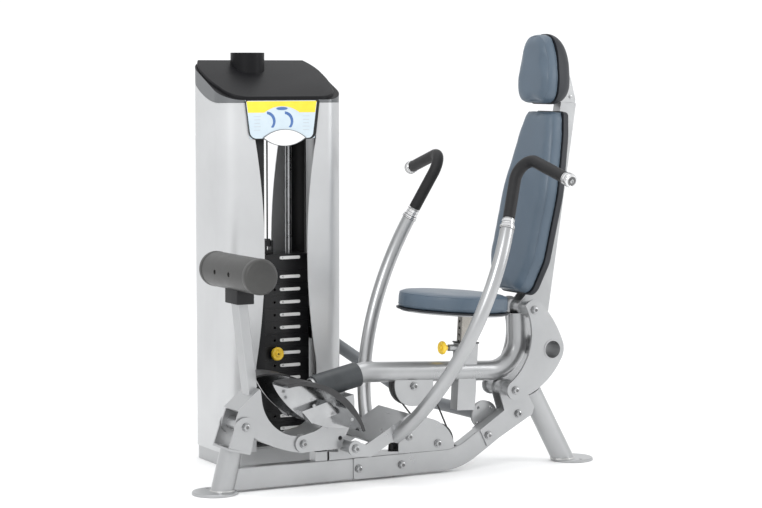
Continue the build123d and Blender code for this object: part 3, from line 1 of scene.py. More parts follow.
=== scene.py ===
import bmesh
import bpy
import json
import math
import numpy as np
from itertools import product
from mathutils import Euler, Matrix, Vector
from mathutils.bvhtree import BVHTree


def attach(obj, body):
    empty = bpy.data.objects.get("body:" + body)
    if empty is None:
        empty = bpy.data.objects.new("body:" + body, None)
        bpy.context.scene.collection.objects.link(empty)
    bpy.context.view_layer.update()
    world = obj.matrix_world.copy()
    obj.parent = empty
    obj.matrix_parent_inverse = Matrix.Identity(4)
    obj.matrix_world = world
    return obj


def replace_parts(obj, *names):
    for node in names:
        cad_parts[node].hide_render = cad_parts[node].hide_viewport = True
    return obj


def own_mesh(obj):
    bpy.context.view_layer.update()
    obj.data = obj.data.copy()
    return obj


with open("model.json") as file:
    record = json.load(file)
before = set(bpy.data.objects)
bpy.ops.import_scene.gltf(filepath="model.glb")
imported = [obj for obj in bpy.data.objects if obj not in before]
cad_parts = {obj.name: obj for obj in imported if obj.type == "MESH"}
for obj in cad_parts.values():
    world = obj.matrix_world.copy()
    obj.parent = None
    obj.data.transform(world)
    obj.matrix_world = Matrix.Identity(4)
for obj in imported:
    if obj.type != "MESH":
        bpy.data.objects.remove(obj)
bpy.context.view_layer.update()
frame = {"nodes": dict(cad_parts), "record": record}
NODES = frame["nodes"]


def added(name, data):
    """A new object of some data, linked to the scene."""
    obj = bpy.data.objects.new(name, data)
    bpy.context.scene.collection.objects.link(obj)
    return obj


# ------------------------------------------------------------------ camera and light
LENS = 106.2
CAMERA_AT = (-3.214, -7.287, 1.519)
LOOK_DOWN, LOOK_RIGHT = 4.74, 28.08
SKY_TINT, SKY_STRENGTH = (0.985, 0.992, 1.0, 1), 1.10


def set_camera():
    """A long lens low in front of the machine, looking a little down and to the back right."""
    lens = bpy.data.cameras.new("view_camera")
    lens.sensor_width = 36.0
    lens.lens = LENS
    lens.clip_end = 60.0
    camera = added("view_camera", lens)
    camera.location = CAMERA_AT
    camera.rotation_euler = (math.radians(90 - LOOK_DOWN), 0, math.radians(-LOOK_RIGHT))
    bpy.context.scene.camera = camera


def soft_light(name, place, aim, size, power):
    """A rectangular panel at a place, turned to face its aim."""
    panel = bpy.data.lights.new(name, "AREA")
    panel.shape = "RECTANGLE"
    panel.size, panel.size_y = size
    panel.energy = power
    lamp = added(name, panel)
    lamp.location = place
    lamp.rotation_euler = (Vector(aim) - Vector(place)).to_track_quat("-Z", "Y").to_euler()


LIGHTS = {"key_panel": ((-3.4, -3.2, 4.0), (0.6, 0.2, 0.7), (2.0, 2.4), 130),
          "side_panel": ((4.4, -2.8, 2.4), (0.9, 0.1, 0.8), (0.9, 2.8), 60),
          "top_panel": ((0.8, 0.4, 4.6), (0.8, 0.3, 0.0), (3.0, 3.0), 40)}


def set_studio():
    """Even white surroundings, a large key panel in front to the left and two weaker ones."""
    world = bpy.data.worlds.new("studio")
    bpy.context.scene.world = world
    world.use_nodes = True
    sky = world.node_tree.nodes["Background"]
    sky.inputs["Color"].default_value = SKY_TINT
    sky.inputs["Strength"].default_value = SKY_STRENGTH
    for name, light in LIGHTS.items():
        soft_light(name, *light)
    bpy.context.scene.view_settings.view_transform = "Standard"


# ------------------------------------------------------------------ finishes
def new_finish(name):
    """An empty finish: its material, node tree, shader and Object coordinates."""
    finish = bpy.data.materials.new(name)
    finish.use_nodes = True
    tree = finish.node_tree
    shader = tree.nodes["Principled BSDF"]
    coords = tree.nodes.new("ShaderNodeTexCoord")
    return finish, tree, shader, coords.outputs["Object"]


NOISE, CELLS = "ShaderNodeTexNoise", "ShaderNodeTexVoronoi"


def grain(tree, coords, scale, detail=4.0, rough=0.55, kind=NOISE):
    """A noise, or cells, at a number of grains to the metre."""
    node = tree.nodes.new(kind)
    node.inputs["Scale"].default_value = scale
    if kind == NOISE:
        node.inputs["Detail"].default_value = detail
        node.inputs["Roughness"].default_value = rough
    tree.links.new(coords, node.inputs["Vector"])
    return node.outputs[0]


def spread(tree, value, low, high, clip=(0.3, 0.7)):
    """A noise value mapped linearly from its usual span to low..high."""
    node = tree.nodes.new("ShaderNodeMapRange")
    node.inputs["From Min"].default_value = clip[0]
    node.inputs["From Max"].default_value = clip[1]
    node.inputs["To Min"].default_value = low
    node.inputs["To Max"].default_value = high
    tree.links.new(value, node.inputs["Value"])
    return node.outputs["Result"]


def two_tones(tree, value, first, second):
    """A colour between two tones, by a noise value."""
    ramp = tree.nodes.new("ShaderNodeValToRGB")
    ramp.color_ramp.elements[0].position = 0.35
    ramp.color_ramp.elements[0].color = (*first, 1)
    ramp.color_ramp.elements[1].position = 0.68
    ramp.color_ramp.elements[1].color = (*second, 1)
    tree.links.new(value, ramp.inputs["Fac"])
    return ramp.outputs["Color"]


def bumped(tree, shader, height, strength, distance):
    """A skin of fine bumps on the shader's normal."""
    bump = tree.nodes.new("ShaderNodeBump")
    bump.inputs["Strength"].default_value = strength
    bump.inputs["Distance"].default_value = distance
    tree.links.new(height, bump.inputs["Height"])
    tree.links.new(bump.outputs["Normal"], shader.inputs["Normal"])


def surface(name, first, second, metallic, rough, mottle, skin, coat=0.0, skin_kind=NOISE, gloss=0.5):
    """A finish: two close tones over a coarse mottle, roughness over the same, and a fine skin of bumps.
    skin is (scale, strength, distance in metres); gloss is the shader's specular level."""
    finish, tree, shader, coords = new_finish(name)
    shader.inputs["Specular IOR Level"].default_value = gloss
    shader.inputs["Metallic"].default_value = metallic
    shader.inputs["Coat Weight"].default_value = coat
    shader.inputs["Coat Roughness"].default_value = 0.12
    cloudy = grain(tree, coords, mottle)
    tree.links.new(two_tones(tree, cloudy, first, second), shader.inputs["Base Color"])
    tree.links.new(spread(tree, cloudy, *rough), shader.inputs["Roughness"])
    fine = grain(tree, coords, skin[0], 2.0, 0.5, skin_kind)
    bumped(tree, shader, fine, skin[1], skin[2])
    return finish


FINISH = {
    "silver": surface("silver_powder_coat", (0.365, 0.37, 0.375), (0.405, 0.41, 0.415), 0.76, (0.27, 0.34),
                      6.0, (1100, 0.12, 0.00015)),
    "link_paint": surface("dark_grey_powder_coat", (0.13, 0.14, 0.15), (0.19, 0.20, 0.21), 0.3, (0.40, 0.50),
                          4.0, (900, 0.10, 0.0002)),
    "zinc": surface("zinc_plate", (0.33, 0.335, 0.34), (0.43, 0.435, 0.44), 1.0, (0.22, 0.36), 30.0,
                    (600, 0.1, 0.0002)),
    "chrome": surface("bright_chrome", (0.60, 0.60, 0.605), (0.70, 0.70, 0.705), 0.75, (0.08, 0.16), 12.0,
                      (300, 0.03, 0.0001)),
    "rubber": surface("black_rubber", (0.011, 0.011, 0.012), (0.016, 0.016, 0.017), 0.0, (0.50, 0.62), 25.0,
                      (700, 0.35, 0.0005), gloss=0.25),
    "cable": surface("nylon_coated_cable", (0.010, 0.010, 0.010), (0.020, 0.020, 0.020), 0.0, (0.35, 0.45),
                     40.0, (900, 0.1, 0.0002)),
    "cap": surface("charcoal_moulding", (0.012, 0.013, 0.014), (0.018, 0.019, 0.020), 0.0, (0.40, 0.52), 6.0,
                   (1400, 0.25, 0.0003), gloss=0.25),
    "board": surface("pale_blue_card", (0.50, 0.59, 0.65), (0.57, 0.65, 0.70), 0.0, (0.35, 0.45), 8.0,
                     (500, 0.05, 0.0001)),
    "iron": surface("black_enamelled_iron", (0.006, 0.006, 0.007), (0.014, 0.014, 0.015), 0.0, (0.30, 0.42),
                    12.0, (300, 0.25, 0.0004), 0.15, gloss=0.35),
    "pulley": surface("black_nylon", (0.014, 0.014, 0.015), (0.026, 0.026, 0.027), 0.0, (0.38, 0.50), 20.0,
                      (800, 0.1, 0.0002)),
    "bush": surface("bush_nylon", (0.013, 0.013, 0.014), (0.024, 0.024, 0.025), 0.0, (0.36, 0.46), 20.0,
                    (800, 0.1, 0.0002)),
    "shell": surface("dark_pad_shell", (0.016, 0.018, 0.022), (0.026, 0.028, 0.033), 0.0, (0.45, 0.58), 10.0,
                     (900, 0.3, 0.0004), gloss=0.3),
    "vinyl": surface("slate_blue_vinyl", (0.060, 0.088, 0.120), (0.070, 0.101, 0.136), 0.0, (0.40, 0.48), 7.0,
                     (420, 0.30, 0.0006), 0.06, CELLS),
    "yellow": surface("yellow_plastic", (0.80, 0.52, 0.030), (0.90, 0.62, 0.045), 0.0, (0.28, 0.38), 20.0,
                      (500, 0.08, 0.0002), 0.2),
}
WHITE = surface("white_label", (0.78, 0.78, 0.77), (0.84, 0.84, 0.83), 0.0, (0.40, 0.50), 20.0,
                (500, 0.05, 0.0001))
YELLOW_CARD = surface("yellow_card", (0.86, 0.60, 0.03), (0.92, 0.68, 0.05), 0.0, (0.38, 0.45), 9.0,
                      (500, 0.05, 0.0001))
GREY_INK = surface("grey_ink", (0.42, 0.46, 0.50), (0.50, 0.54, 0.58), 0.0, (0.45, 0.50), 20.0,
                   (500, 0.05, 0.0001))
BLUE_INK = surface("blue_ink", (0.05, 0.12, 0.32), (0.07, 0.16, 0.38), 0.0, (0.45, 0.50), 20.0,
                   (500, 0.05, 0.0001))
FOAM = surface("black_foam", (0.028, 0.032, 0.035), (0.040, 0.045, 0.049), 0.0, (0.36, 0.46), 18.0,
               (260, 0.30, 0.0006), gloss=0.45)
WELD = surface("painted_weld", (0.46, 0.46, 0.455), (0.54, 0.54, 0.53), 0.55, (0.34, 0.46), 40.0,
               (200, 0.4, 0.0006))
FLOOR = surface("pale_floor", (0.95, 0.95, 0.95), (0.96, 0.96, 0.96), 0.0, (0.55, 0.65), 1.5,
                (60, 0.02, 0.0005))


def vector_math(tree, operation, first, second):
    """A vector node; the second input is another node's output or a fixed vector."""
    node = tree.nodes.new("ShaderNodeVectorMath")
    node.operation = operation
    tree.links.new(first, node.inputs[0])
    if isinstance(second, tuple):
        node.inputs[1].default_value = second
    else:
        tree.links.new(second, node.inputs[1])
    return node.outputs["Value" if operation == "DOT_PRODUCT" else "Vector"]


def past_plane(normal, level):
    """A mask: 1 where position . normal is above the level."""
    def mask(tree, coords):
        return stepped(tree, vector_math(tree, "DOT_PRODUCT", coords, normal), level)
    return mask


def stepped(tree, value, level, operation="GREATER_THAN"):
    """1 where a value is past a level, 0 elsewhere."""
    step = tree.nodes.new("ShaderNodeMath")
    step.operation = operation
    step.inputs[1].default_value = level
    tree.links.new(value, step.inputs[0])
    return step.outputs[0]


def inner_faces(centre, x_from):
    """A mask: 1 on the faces that look towards the centre line, past x_from."""
    def mask(tree, coords):
        away = vector_math(tree, "SUBTRACT", coords, centre)
        level = vector_math(tree, "MULTIPLY", away, (1, 1, 0))
        normal = tree.nodes["Texture Coordinate"].outputs["Normal"]
        inside = stepped(tree, vector_math(tree, "DOT_PRODUCT", level, normal), 0.0, "LESS_THAN")
        split = tree.nodes.new("ShaderNodeSeparateXYZ")
        tree.links.new(coords, split.inputs[0])
        both = tree.nodes.new("ShaderNodeMath")
        both.operation = "MULTIPLY"
        tree.links.new(inside, both.inputs[0])
        tree.links.new(stepped(tree, split.outputs["X"], x_from), both.inputs[1])
        return both.outputs[0]
    return mask


def zoned(name, first, second, mask, skin=(900, 0.10, 0.0002), gloss=0.3):
    """One finish in two zones, each (tone, metallic, roughness); the mask is 1 in the second."""
    finish, tree, shader, coords = new_finish(name)
    where = mask(tree, coords)
    cloudy = grain(tree, coords, 3.0)
    mix = tree.nodes.new("ShaderNodeMix")
    mix.data_type = "RGBA"
    tree.links.new(where, mix.inputs[0])
    for (tone, _, _), socket in ((first, 6), (second, 7)):
        lighter = tuple(1.1 * channel for channel in tone)
        tree.links.new(two_tones(tree, cloudy, tone, lighter), mix.inputs[socket])
    tree.links.new(mix.outputs[2], shader.inputs["Base Color"])
    for k, socket in ((1, "Metallic"), (2, "Roughness")):
        tree.links.new(spread(tree, where, first[k], second[k], (0.0, 1.0)), shader.inputs[socket])
    shader.inputs["Specular IOR Level"].default_value = gloss
    bumped(tree, shader, grain(tree, coords, skin[0], 2.0, 0.5), skin[1], skin[2])
    return finish


TOWER_FRONT, TOWER_DEPTH, TOWER_MIDDLE_Y = 0.455, 0.330, 0.62
CAP_RISE = 0.147 / TOWER_DEPTH
CAP_FRONT_TOP, CAP_PANEL_T = 1.409, 0.0122
CAP_LEVEL = CAP_FRONT_TOP - TOWER_FRONT * CAP_RISE - CAP_PANEL_T
STACK_X = 0.505
# Where the painted shade on the shroud's inner faces begins, along X.
PAINTED_SHADE_FROM_X = 0.684
BAR_BLOCK_LOW = 0.6805
SILVER_PAINT = ((0.37, 0.375, 0.38), 0.76, 0.30)
# The black of the cap panel and the bar's block; on the shroud's inner faces the same black is painted shade.
BLACK_PLASTIC_AND_PAINTED_SHADE = ((0.008, 0.008, 0.009), 0.0, 0.40)
SHROUD_SKIN = ((0.50, 0.505, 0.51), 0.50, 0.34)
CAP_FINISH = zoned("cap_panel_and_skirt", ((0.16, 0.165, 0.17), 0.75, 0.30), BLACK_PLASTIC_AND_PAINTED_SHADE,
                   past_plane((0, -CAP_RISE, 1), CAP_LEVEL), (1400, 0.2, 0.0003), 0.12)
BAR_FINISH = zoned("bar_and_block", SILVER_PAINT, BLACK_PLASTIC_AND_PAINTED_SHADE, past_plane((0, 0, 1), BAR_BLOCK_LOW))
# On the shroud's faces that look inwards, right of the opening, the black is painted shade of the tower's
# inside.
SHROUD_FINISH = zoned("shroud_silver_and_painted_shade", SHROUD_SKIN, BLACK_PLASTIC_AND_PAINTED_SHADE,
                      inner_faces((STACK_X, TOWER_MIDDLE_Y, 0), PAINTED_SHADE_FROM_X))
POST_STEEL = surface("bright_steel", (0.30, 0.285, 0.26), (0.40, 0.38, 0.35), 1.0, (0.16, 0.28), 20.0,
                     (500, 0.08, 0.0002))
TREAD = surface("ribbed_rubber", (0.016, 0.016, 0.017), (0.030, 0.030, 0.031), 0.0, (0.40, 0.55), 25.0,
                (420, 0.5, 0.0006))
DRUM = surface("drum_moulding", (0.030, 0.030, 0.029), (0.046, 0.046, 0.044), 0.0, (0.34, 0.48), 9.0,
               (320, 0.30, 0.0006), gloss=0.4)
POLISHED = surface("polished_foot_plate", (0.34, 0.345, 0.35), (0.42, 0.425, 0.43), 1.0, (0.10, 0.18), 12.0,
                   (300, 0.05, 0.0003))
# Dark metal standing for shade: painted into grooves, sunk floors, bolt sockets and round washers.
SHADE_DARK_METAL = surface("painted_shade_metal", (0.10, 0.10, 0.10), (0.20, 0.20, 0.20), 1.0, (0.20, 0.32), 30.0,
                (500, 0.1, 0.0002))
EDGE_ANGLE = math.radians(28)
WELD_REACH = 0.00002


def edge_smoothing():
    """A node group that shades faces smooth except across edges sharper than 28 degrees."""
    group = bpy.data.node_groups.new("smooth_but_for_edges", "GeometryNodeTree")
    group.interface.new_socket("Geometry", in_out="INPUT", socket_type="NodeSocketGeometry")
    group.interface.new_socket("Geometry", in_out="OUTPUT", socket_type="NodeSocketGeometry")
    add = group.nodes.new
    start, end = add("NodeGroupInput"), add("NodeGroupOutput")
    angle, above = add("GeometryNodeInputMeshEdgeAngle"), add("FunctionNodeCompare")
    all_smooth, sharp = add("GeometryNodeSetShadeSmooth"), add("GeometryNodeSetShadeSmooth")
    above.operation = "GREATER_THAN"
    above.inputs["B"].default_value = EDGE_ANGLE
    sharp.domain = "EDGE"
    sharp.inputs["Shade Smooth"].default_value = False
    link = group.links.new
    link(angle.outputs["Unsigned Angle"], above.inputs["A"])
    link(start.outputs[0], all_smooth.inputs["Geometry"])
    link(all_smooth.outputs["Geometry"], sharp.inputs["Geometry"])
    link(above.outputs["Result"], sharp.inputs["Selection"])
    link(sharp.outputs["Geometry"], end.inputs[0])
    return group


SMOOTHING = edge_smoothing()


def smooth_edges(obj, weld=True):
    """Smooth shading between sharp edges; a CAD node's loose triangles are joined for it first."""
    if weld:
        merge = obj.modifiers.new("weld", "WELD")
        merge.merge_threshold = WELD_REACH
    shade = obj.modifiers.new("smooth", "NODES")
    shade.node_group = SMOOTHING


def dress_nodes():
    """Every CAD node takes the finish of its material slot, and shades smooth between its edges."""
    slot_of = {part["node"]: part["material_slot"] for part in frame["record"]["subparts"]}
    special = {"foam_roll": FOAM, "top_cap": CAP_FINISH, "counterweight_bar": BAR_FINISH,
               "seat_post": POST_STEEL, "left_shroud": SHROUD_FINISH, "right_shroud": SHROUD_FINISH,
               "foot_treads": TREAD, "counterweight_drum": DRUM, "foot_plates": POLISHED}
    for name, obj in NODES.items():
        finish = special.get(name, FINISH[slot_of[name]])
        obj.data.materials.clear()
        obj.data.materials.append(finish)
        smooth_edges(obj)


# ------------------------------------------------------------------ surfaces
def quads(rows, columns, close_rows=False, close_columns=False):
    """Corner indices of a grid's faces; a closed way joins its last line to its first."""
    r = np.arange(rows if close_rows else rows - 1)
    c = np.arange(columns if close_columns else columns - 1)
    r, c = np.meshgrid(r, c, indexing="ij")
    r2, c2 = (r + 1) % rows, (c + 1) % columns
    corners = [r * columns + c, r * columns + c2, r2 * columns + c2, r2 * columns + c]
    return np.stack(corners, -1).reshape(-1, 4)


def make_piece(name, points, faces, finish, body, caps=()):
    """Puts a grid of points and its faces into a mesh, with caps as extra rings of corner indices."""
    mesh = bpy.data.meshes.new(name)
    corners = [list(map(int, face)) for face in faces] + [list(map(int, ring)) for ring in caps]
    mesh.from_pydata(np.asarray(points, float).reshape(-1, 3).tolist(), [], corners)
    mesh.update()
    obj = added(name, mesh)
    mesh.materials.append(finish)
    outward(mesh)
    smooth_edges(obj, weld=False)
    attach(obj, body)
    return obj


def end_caps(rows, columns):
    """The first and the last ring of a grid, as two faces."""
    return [range(columns), range((rows - 1) * columns, rows * columns)]


def stacked(name, points, finish, body):
    """A closed piece from a stack of rings with a face on the first and the last."""
    rows, columns = points.shape[:2]
    return make_piece(name, points, quads(rows, columns, close_columns=True), finish, body,
                      end_caps(rows, columns))


def outward(mesh):
    """Turns a closed mesh's faces outwards."""
    work = bmesh.new()
    work.from_mesh(mesh)
    bmesh.ops.recalc_face_normals(work, faces=work.faces)
    work.to_mesh(mesh)
    work.free()


def unit(vector):
    """The vector at a length of one."""
    return np.asarray(vector, float) / np.linalg.norm(vector)


def frame_on(axis):
    """The axis at a length of one, and two unit vectors square to it and to each other."""
    axis = unit(axis)
    helper = np.array([0.0, 0.0, 1.0]) if abs(axis[2]) < 0.9 else np.array([1.0, 0.0, 0.0])
    side = unit(np.cross(helper, axis))
    return axis, side, np.cross(axis, side)


def rings_about(profile, origin, axis, segments):
    """A profile of (radius, height) pairs turned about an axis: origin + h*axis + r*(side*cos t + up*sin t),
    one ring to each pair."""
    profile = np.asarray(profile, float)
    axis, side, up = frame_on(axis)
    t = np.linspace(0, 2 * np.pi, segments, endpoint=False)
    ring = side[None] * np.cos(t)[:, None] + up[None] * np.sin(t)[:, None]
    radius, height = profile[:, 0, None, None], profile[:, 1, None, None]
    return np.asarray(origin, float) + height * axis + radius * ring[None]


def turned(name, profile, origin, axis, finish, body, segments=48):
    """The rings of a turned profile made into a closed piece."""
    return stacked(name, rings_about(profile, origin, axis, segments), finish, body)


def carried(name, path, section, up, finish, body, close_path=False):
    """A closed section of (across, out) pairs carried along a path: p + a*(tangent x up) + b*up', where up'
    is square to the tangent."""
    path = np.asarray(path, float)
    section = np.asarray(section, float)
    if close_path:
        tangent = np.roll(path, -1, 0) - np.roll(path, 1, 0)
    else:
        tangent = np.gradient(path, axis=0)
    tangent /= np.linalg.norm(tangent, axis=1, keepdims=True)
    across = np.cross(tangent, np.broadcast_to(up, tangent.shape))
    across /= np.linalg.norm(across, axis=1, keepdims=True)
    out = np.cross(across, tangent)
    a, b = section[None, :, 0, None], section[None, :, 1, None]
    points = path[:, None] + a * across[:, None] + b * out[:, None]
    rows, columns = points.shape[:2]
    faces = quads(rows, columns, close_path, True)
    return make_piece(name, points, faces, finish, body, [] if close_path else end_caps(rows, columns))


def bead(name, loop, radius, up, finish, body, sides=8):
    """A round cord laid on a closed loop of points."""
    return carried(name, loop, round_section(radius, sides), up, finish, body, close_path=True)


def round_section(radius, sides=12):
    """(r cos t, r sin t)"""
    t = np.linspace(0, 2 * np.pi, sides, endpoint=False)
    return np.stack([radius * np.cos(t), radius * np.sin(t)], -1)


def rounded_rectangle(width, height, radius, arc=8):
    """Four quarter circles of the radius at the corners, joined by straight sides."""
    t = np.linspace(0, np.pi / 2, arc)
    quarter = np.stack([np.cos(t), np.sin(t)], -1) * radius
    turns = [np.array([[np.cos(a), np.sin(a)], [-np.sin(a), np.cos(a)]]) for a in np.arange(4) * np.pi / 2]
    x, y = width / 2 - radius, height / 2 - radius
    centres = np.array([[x, y], [-x, y], [-x, -y], [x, -y]])
    return np.concatenate([quarter @ turn + centre for turn, centre in zip(turns, centres)])


UPRIGHT = ((1, 0, 0), (0, 0, 1))


def plate(name, outline, thickness, place, across, upward, finish, body, slot, edge=0.0006):
    """A thin plate: the outline's points a*across + b*upward at three depths, its front rim drawn in by the
    edge."""
    outline = np.asarray(outline, float)
    across, upward = np.asarray(across, float), np.asarray(upward, float)
    out = np.cross(across, upward)
    middle = outline.mean(0)
    reach = np.linalg.norm(outline - middle, axis=1, keepdims=True)
    small = middle + (outline - middle) * (1 - edge / reach)
    rings = [(outline, 0.0), (outline, thickness - edge), (small, thickness)]
    points = np.stack([np.asarray(place) + ring[:, :1] * across + ring[:, 1:] * upward + depth * out
                       for ring, depth in rings])
    return stacked(name, points, finish, body)


# ------------------------------------------------------------------ padding
def worked(obj):
    """The object as its modifiers leave it."""
    return obj.evaluated_get(bpy.context.evaluated_depsgraph_get())


def settled(obj):
    """The object's shape with its modifiers worked in."""
    mesh = bpy.data.meshes.new_from_object(worked(obj))
    obj.modifiers.clear()
    obj.data = mesh
    return mesh


def points_of(mesh, field="co"):
    """A mesh's points, or its point normals, as an array."""
    values = np.zeros(len(mesh.vertices) * 3, np.float32)
    mesh.vertices.foreach_get(field, values)
    return values.reshape(-1, 3).astype(float)


def move_points(mesh, points):
    """Puts an array of points back into a mesh."""
    mesh.vertices.foreach_set("co", np.asarray(points, np.float32).ravel())
    mesh.update()


PAD_GRAIN = 0.006
SHRINK = 0.004
SIM_FRAMES = 20
PRESSURE = 4.0
VINYL_STIFFNESS = 12
FLAT_BACK = 0.004
SOFTEN_STEPS, RELAX_STEPS = 5, 24


def blown_up(obj, base, cap):
    """Cloth under an inner pressure for a few frames; no point may move further than the cap."""
    cloth = obj.modifiers.new("cloth", "CLOTH")
    cloth.settings.quality = 4
    cloth.settings.mass = 0.25
    cloth.settings.use_pressure = True
    cloth.settings.uniform_pressure_force = PRESSURE
    cloth.settings.tension_stiffness = VINYL_STIFFNESS
    cloth.settings.compression_stiffness = VINYL_STIFFNESS
    cloth.settings.effector_weights.gravity = 0
    scene = bpy.context.scene
    for number in range(1, SIM_FRAMES + 1):
        scene.frame_set(number)
    moved = points_of(worked(obj).to_mesh())
    scene.frame_set(1)
    obj.modifiers.clear()
    shift = moved - base
    length = np.linalg.norm(shift, axis=1, keepdims=True)
    return base + shift * np.minimum(1, cap / np.maximum(length, 1e-9))


def cushion(obj, node, body, behind, cap):
    """Vinyl blown taut over foam. The side towards `behind` stays on its shell."""
    remesh = obj.modifiers.new("remesh", "REMESH")
    remesh.mode = "VOXEL"
    remesh.voxel_size = PAD_GRAIN
    soften = obj.modifiers.new("soften", "SMOOTH")
    soften.iterations = SOFTEN_STEPS
    mesh = settled(obj)
    surface_points = points_of(mesh)
    behind = np.asarray(behind, float)
    depth = surface_points @ behind
    back = depth > depth.max() - FLAT_BACK
    base = surface_points - points_of(mesh, "normal") * SHRINK
    move_points(mesh, base)
    moved = blown_up(obj, base, cap)
    over = np.maximum(moved @ behind - depth.max(), 0)
    moved -= over[:, None] * behind
    moved[back] = surface_points[back]
    move_points(obj.data, moved)
    relax = obj.modifiers.new("relax", "SMOOTH")
    relax.iterations = RELAX_STEPS
    finer = obj.modifiers.new("finer", "SUBSURF")
    finer.levels = finer.render_levels = 1
    mesh = settled(obj)
    mesh.materials.clear()
    mesh.materials.append(FINISH["vinyl"])
    mesh.shade_smooth()
    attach(obj, body)
    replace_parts(obj, node)
    return obj


def arc_centre(a, b, c):
    """The middle of the circle through three points, where their perpendicular bisectors meet."""
    ab, ac = b - a, c - a
    d = 2 * (ab[0] * ac[1] - ab[1] * ac[0])
    bb, cc = ab @ ab, ac @ ac
    return a + np.array([ac[1] * bb - ab[1] * cc, ab[0] * cc - ac[0] * bb]) / d


def arc(first, middle, last, count=14):
    """Points of the circle through three points, from the first past the middle to the last."""
    a, b, c = (np.asarray(p, float) for p in (first, middle, last))
    centre = arc_centre(a, b, c)
    angle = [math.atan2(*(p - centre)[::-1]) for p in (a, b, c)]
    full = 2 * math.pi
    sweep = (angle[2] - angle[0]) % full
    if (angle[1] - angle[0]) % full > sweep:
        sweep -= full
    t = angle[0] + np.linspace(0, sweep, count)
    return centre + np.linalg.norm(a - centre) * np.stack([np.cos(t), np.sin(t)], -1)


def rounded_polygon(corners, radii, count=9):
    """A closed polygon whose corners are arcs: each touches both sides at radius * tan(half the turn)."""
    corners = np.asarray(corners, float)
    radii = np.broadcast_to(np.asarray(radii, float), len(corners))
    before = np.roll(corners, 1, 0) - corners
    after = np.roll(corners, -1, 0) - corners
    before /= np.linalg.norm(before, axis=1, keepdims=True)
    after /= np.linalg.norm(after, axis=1, keepdims=True)
    half = np.arccos(np.clip((before * after).sum(1), -1, 1)) / 2
    bisector = before + after
    bisector /= np.maximum(np.linalg.norm(bisector, axis=1, keepdims=True), 1e-9)
    centre = corners + bisector * (radii / np.sin(half))[:, None]
    start = corners + before * (radii / np.tan(half))[:, None] - centre
    end = corners + after * (radii / np.tan(half))[:, None] - centre
    turn = np.arctan2(start[:, 0] * end[:, 1] - start[:, 1] * end[:, 0], (start * end).sum(1))
    t = turn[:, None] * np.linspace(0, 1, count)[None]
    x = start[:, :1] * np.cos(t) - start[:, 1:] * np.sin(t)
    y = start[:, :1] * np.sin(t) + start[:, 1:] * np.cos(t)
    return (centre[:, None] + np.stack([x, y], -1)).reshape(-1, 2)


# ------------------------------------------------------------------ the weight tower's dressing
PLATE_FRONT = 0.560
PLATE_PITCH = 0.0495
PINNED_Z = 0.413
TOP_PLATE_MIDDLE = 0.766
LABEL_X = (0.527, 0.615)
LABEL_H = 0.0125
LABEL_SKIN = 0.0009
NUMBER_SIZE = 0.0098
NUMBER_IN, NUMBER_PROUD = 0.013, 0.0008
MOVING_PLATES = 8


def weight_labels():
    """A white bar on each plate with its number beside it."""
    width = LABEL_X[1] - LABEL_X[0]
    bar = rounded_rectangle(width, LABEL_H, LABEL_H * 0.45, 6)
    heights = [TOP_PLATE_MIDDLE + 0.018] + [PINNED_Z + k * PLATE_PITCH for k in range(6, -7, -1)]
    for count, z in enumerate(heights):
        body = "stack" if count < MOVING_PLATES else "frame"
        place = ((LABEL_X[0] + LABEL_X[1]) / 2, PLATE_FRONT + 0.0002, z)
        plate(f"label_{count:02d}", bar, LABEL_SKIN, place, *UPRIGHT, WHITE, body, "board", 0.0003)
        place = (LABEL_X[0] + NUMBER_IN, PLATE_FRONT - NUMBER_PROUD, z)
        printed(f"number_{count:02d}", str(5 + 5 * count), place, body)


def printed(name, words, place, body):
    """A number as a flat mesh, centred on its place and facing the front."""
    curve = bpy.data.curves.new(name, "FONT")
    curve.body = words
    curve.size = NUMBER_SIZE
    curve.align_x, curve.align_y = "CENTER", "CENTER"
    curve.resolution_u = 3
    curve.extrude = 0.0001
    lettering = added(name + "_curve", curve)
    bpy.context.view_layer.update()
    mesh = bpy.data.meshes.new_from_object(worked(lettering))
    bpy.data.objects.remove(lettering)
    mesh.transform(Matrix.Translation(place) @ Euler((math.pi / 2, 0, 0)).to_matrix().to_4x4())
    mesh.materials.clear()
    mesh.materials.append(FINISH["rubber"])
    obj = added(name, mesh)
    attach(obj, body)


ROPE_TOP = 1.396
ROPE_LOW = 0.85505
ROPE_RADIUS = 0.0032
ROPE_Y = 0.625


def stack_rope():
    """The rope from the top plate up to the pulley, as a tube."""
    length = ROPE_TOP - ROPE_LOW
    rope = turned("stack_rope", [(ROPE_RADIUS, 0.0), (ROPE_RADIUS, length)], (STACK_X, ROPE_Y, ROPE_LOW),
                  (0, 0, 1), FINISH["cable"], "frame", 16)
    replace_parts(rope, "stack_cable")
    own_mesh(rope)


BOARD_LOW, BOARD_HIGH = 1.250, 1.396
BOARD_X = 0.490
BOARD_FRONT = 0.4507
BOARD_HALF = (0.136, 0.155)
RIM_T, CARD_T, INK_T = 0.0012, 0.0006, 0.0004
ON_CARD = RIM_T + CARD_T
HEAD_DROP = 0.047
ARCH = (-0.078, -0.004, 0.070, 0.024)
LINE_STEP, LINE_LENGTH, LINE_H = 0.013, 0.030, 0.0022
LENS_HALF, LENS_RISE, LENS_RIM = 0.086, 0.030, 1.07


def board_half(z, inset=0.0):
    """Half the board's width at a height: it widens evenly from its foot to its head."""
    low, high = BOARD_HALF
    return low + (high - low) * (z - BOARD_LOW) / (BOARD_HIGH - BOARD_LOW) - inset


def on_board(name, outline, lift, thickness, finish, slot):
    """A flat piece on the board's face, its outline in board metres from (BOARD_X, 0, 0)."""
    return plate(name, outline, thickness, (BOARD_X, BOARD_FRONT - lift, 0), *UPRIGHT, finish, "frame", slot,
                 0.0003)


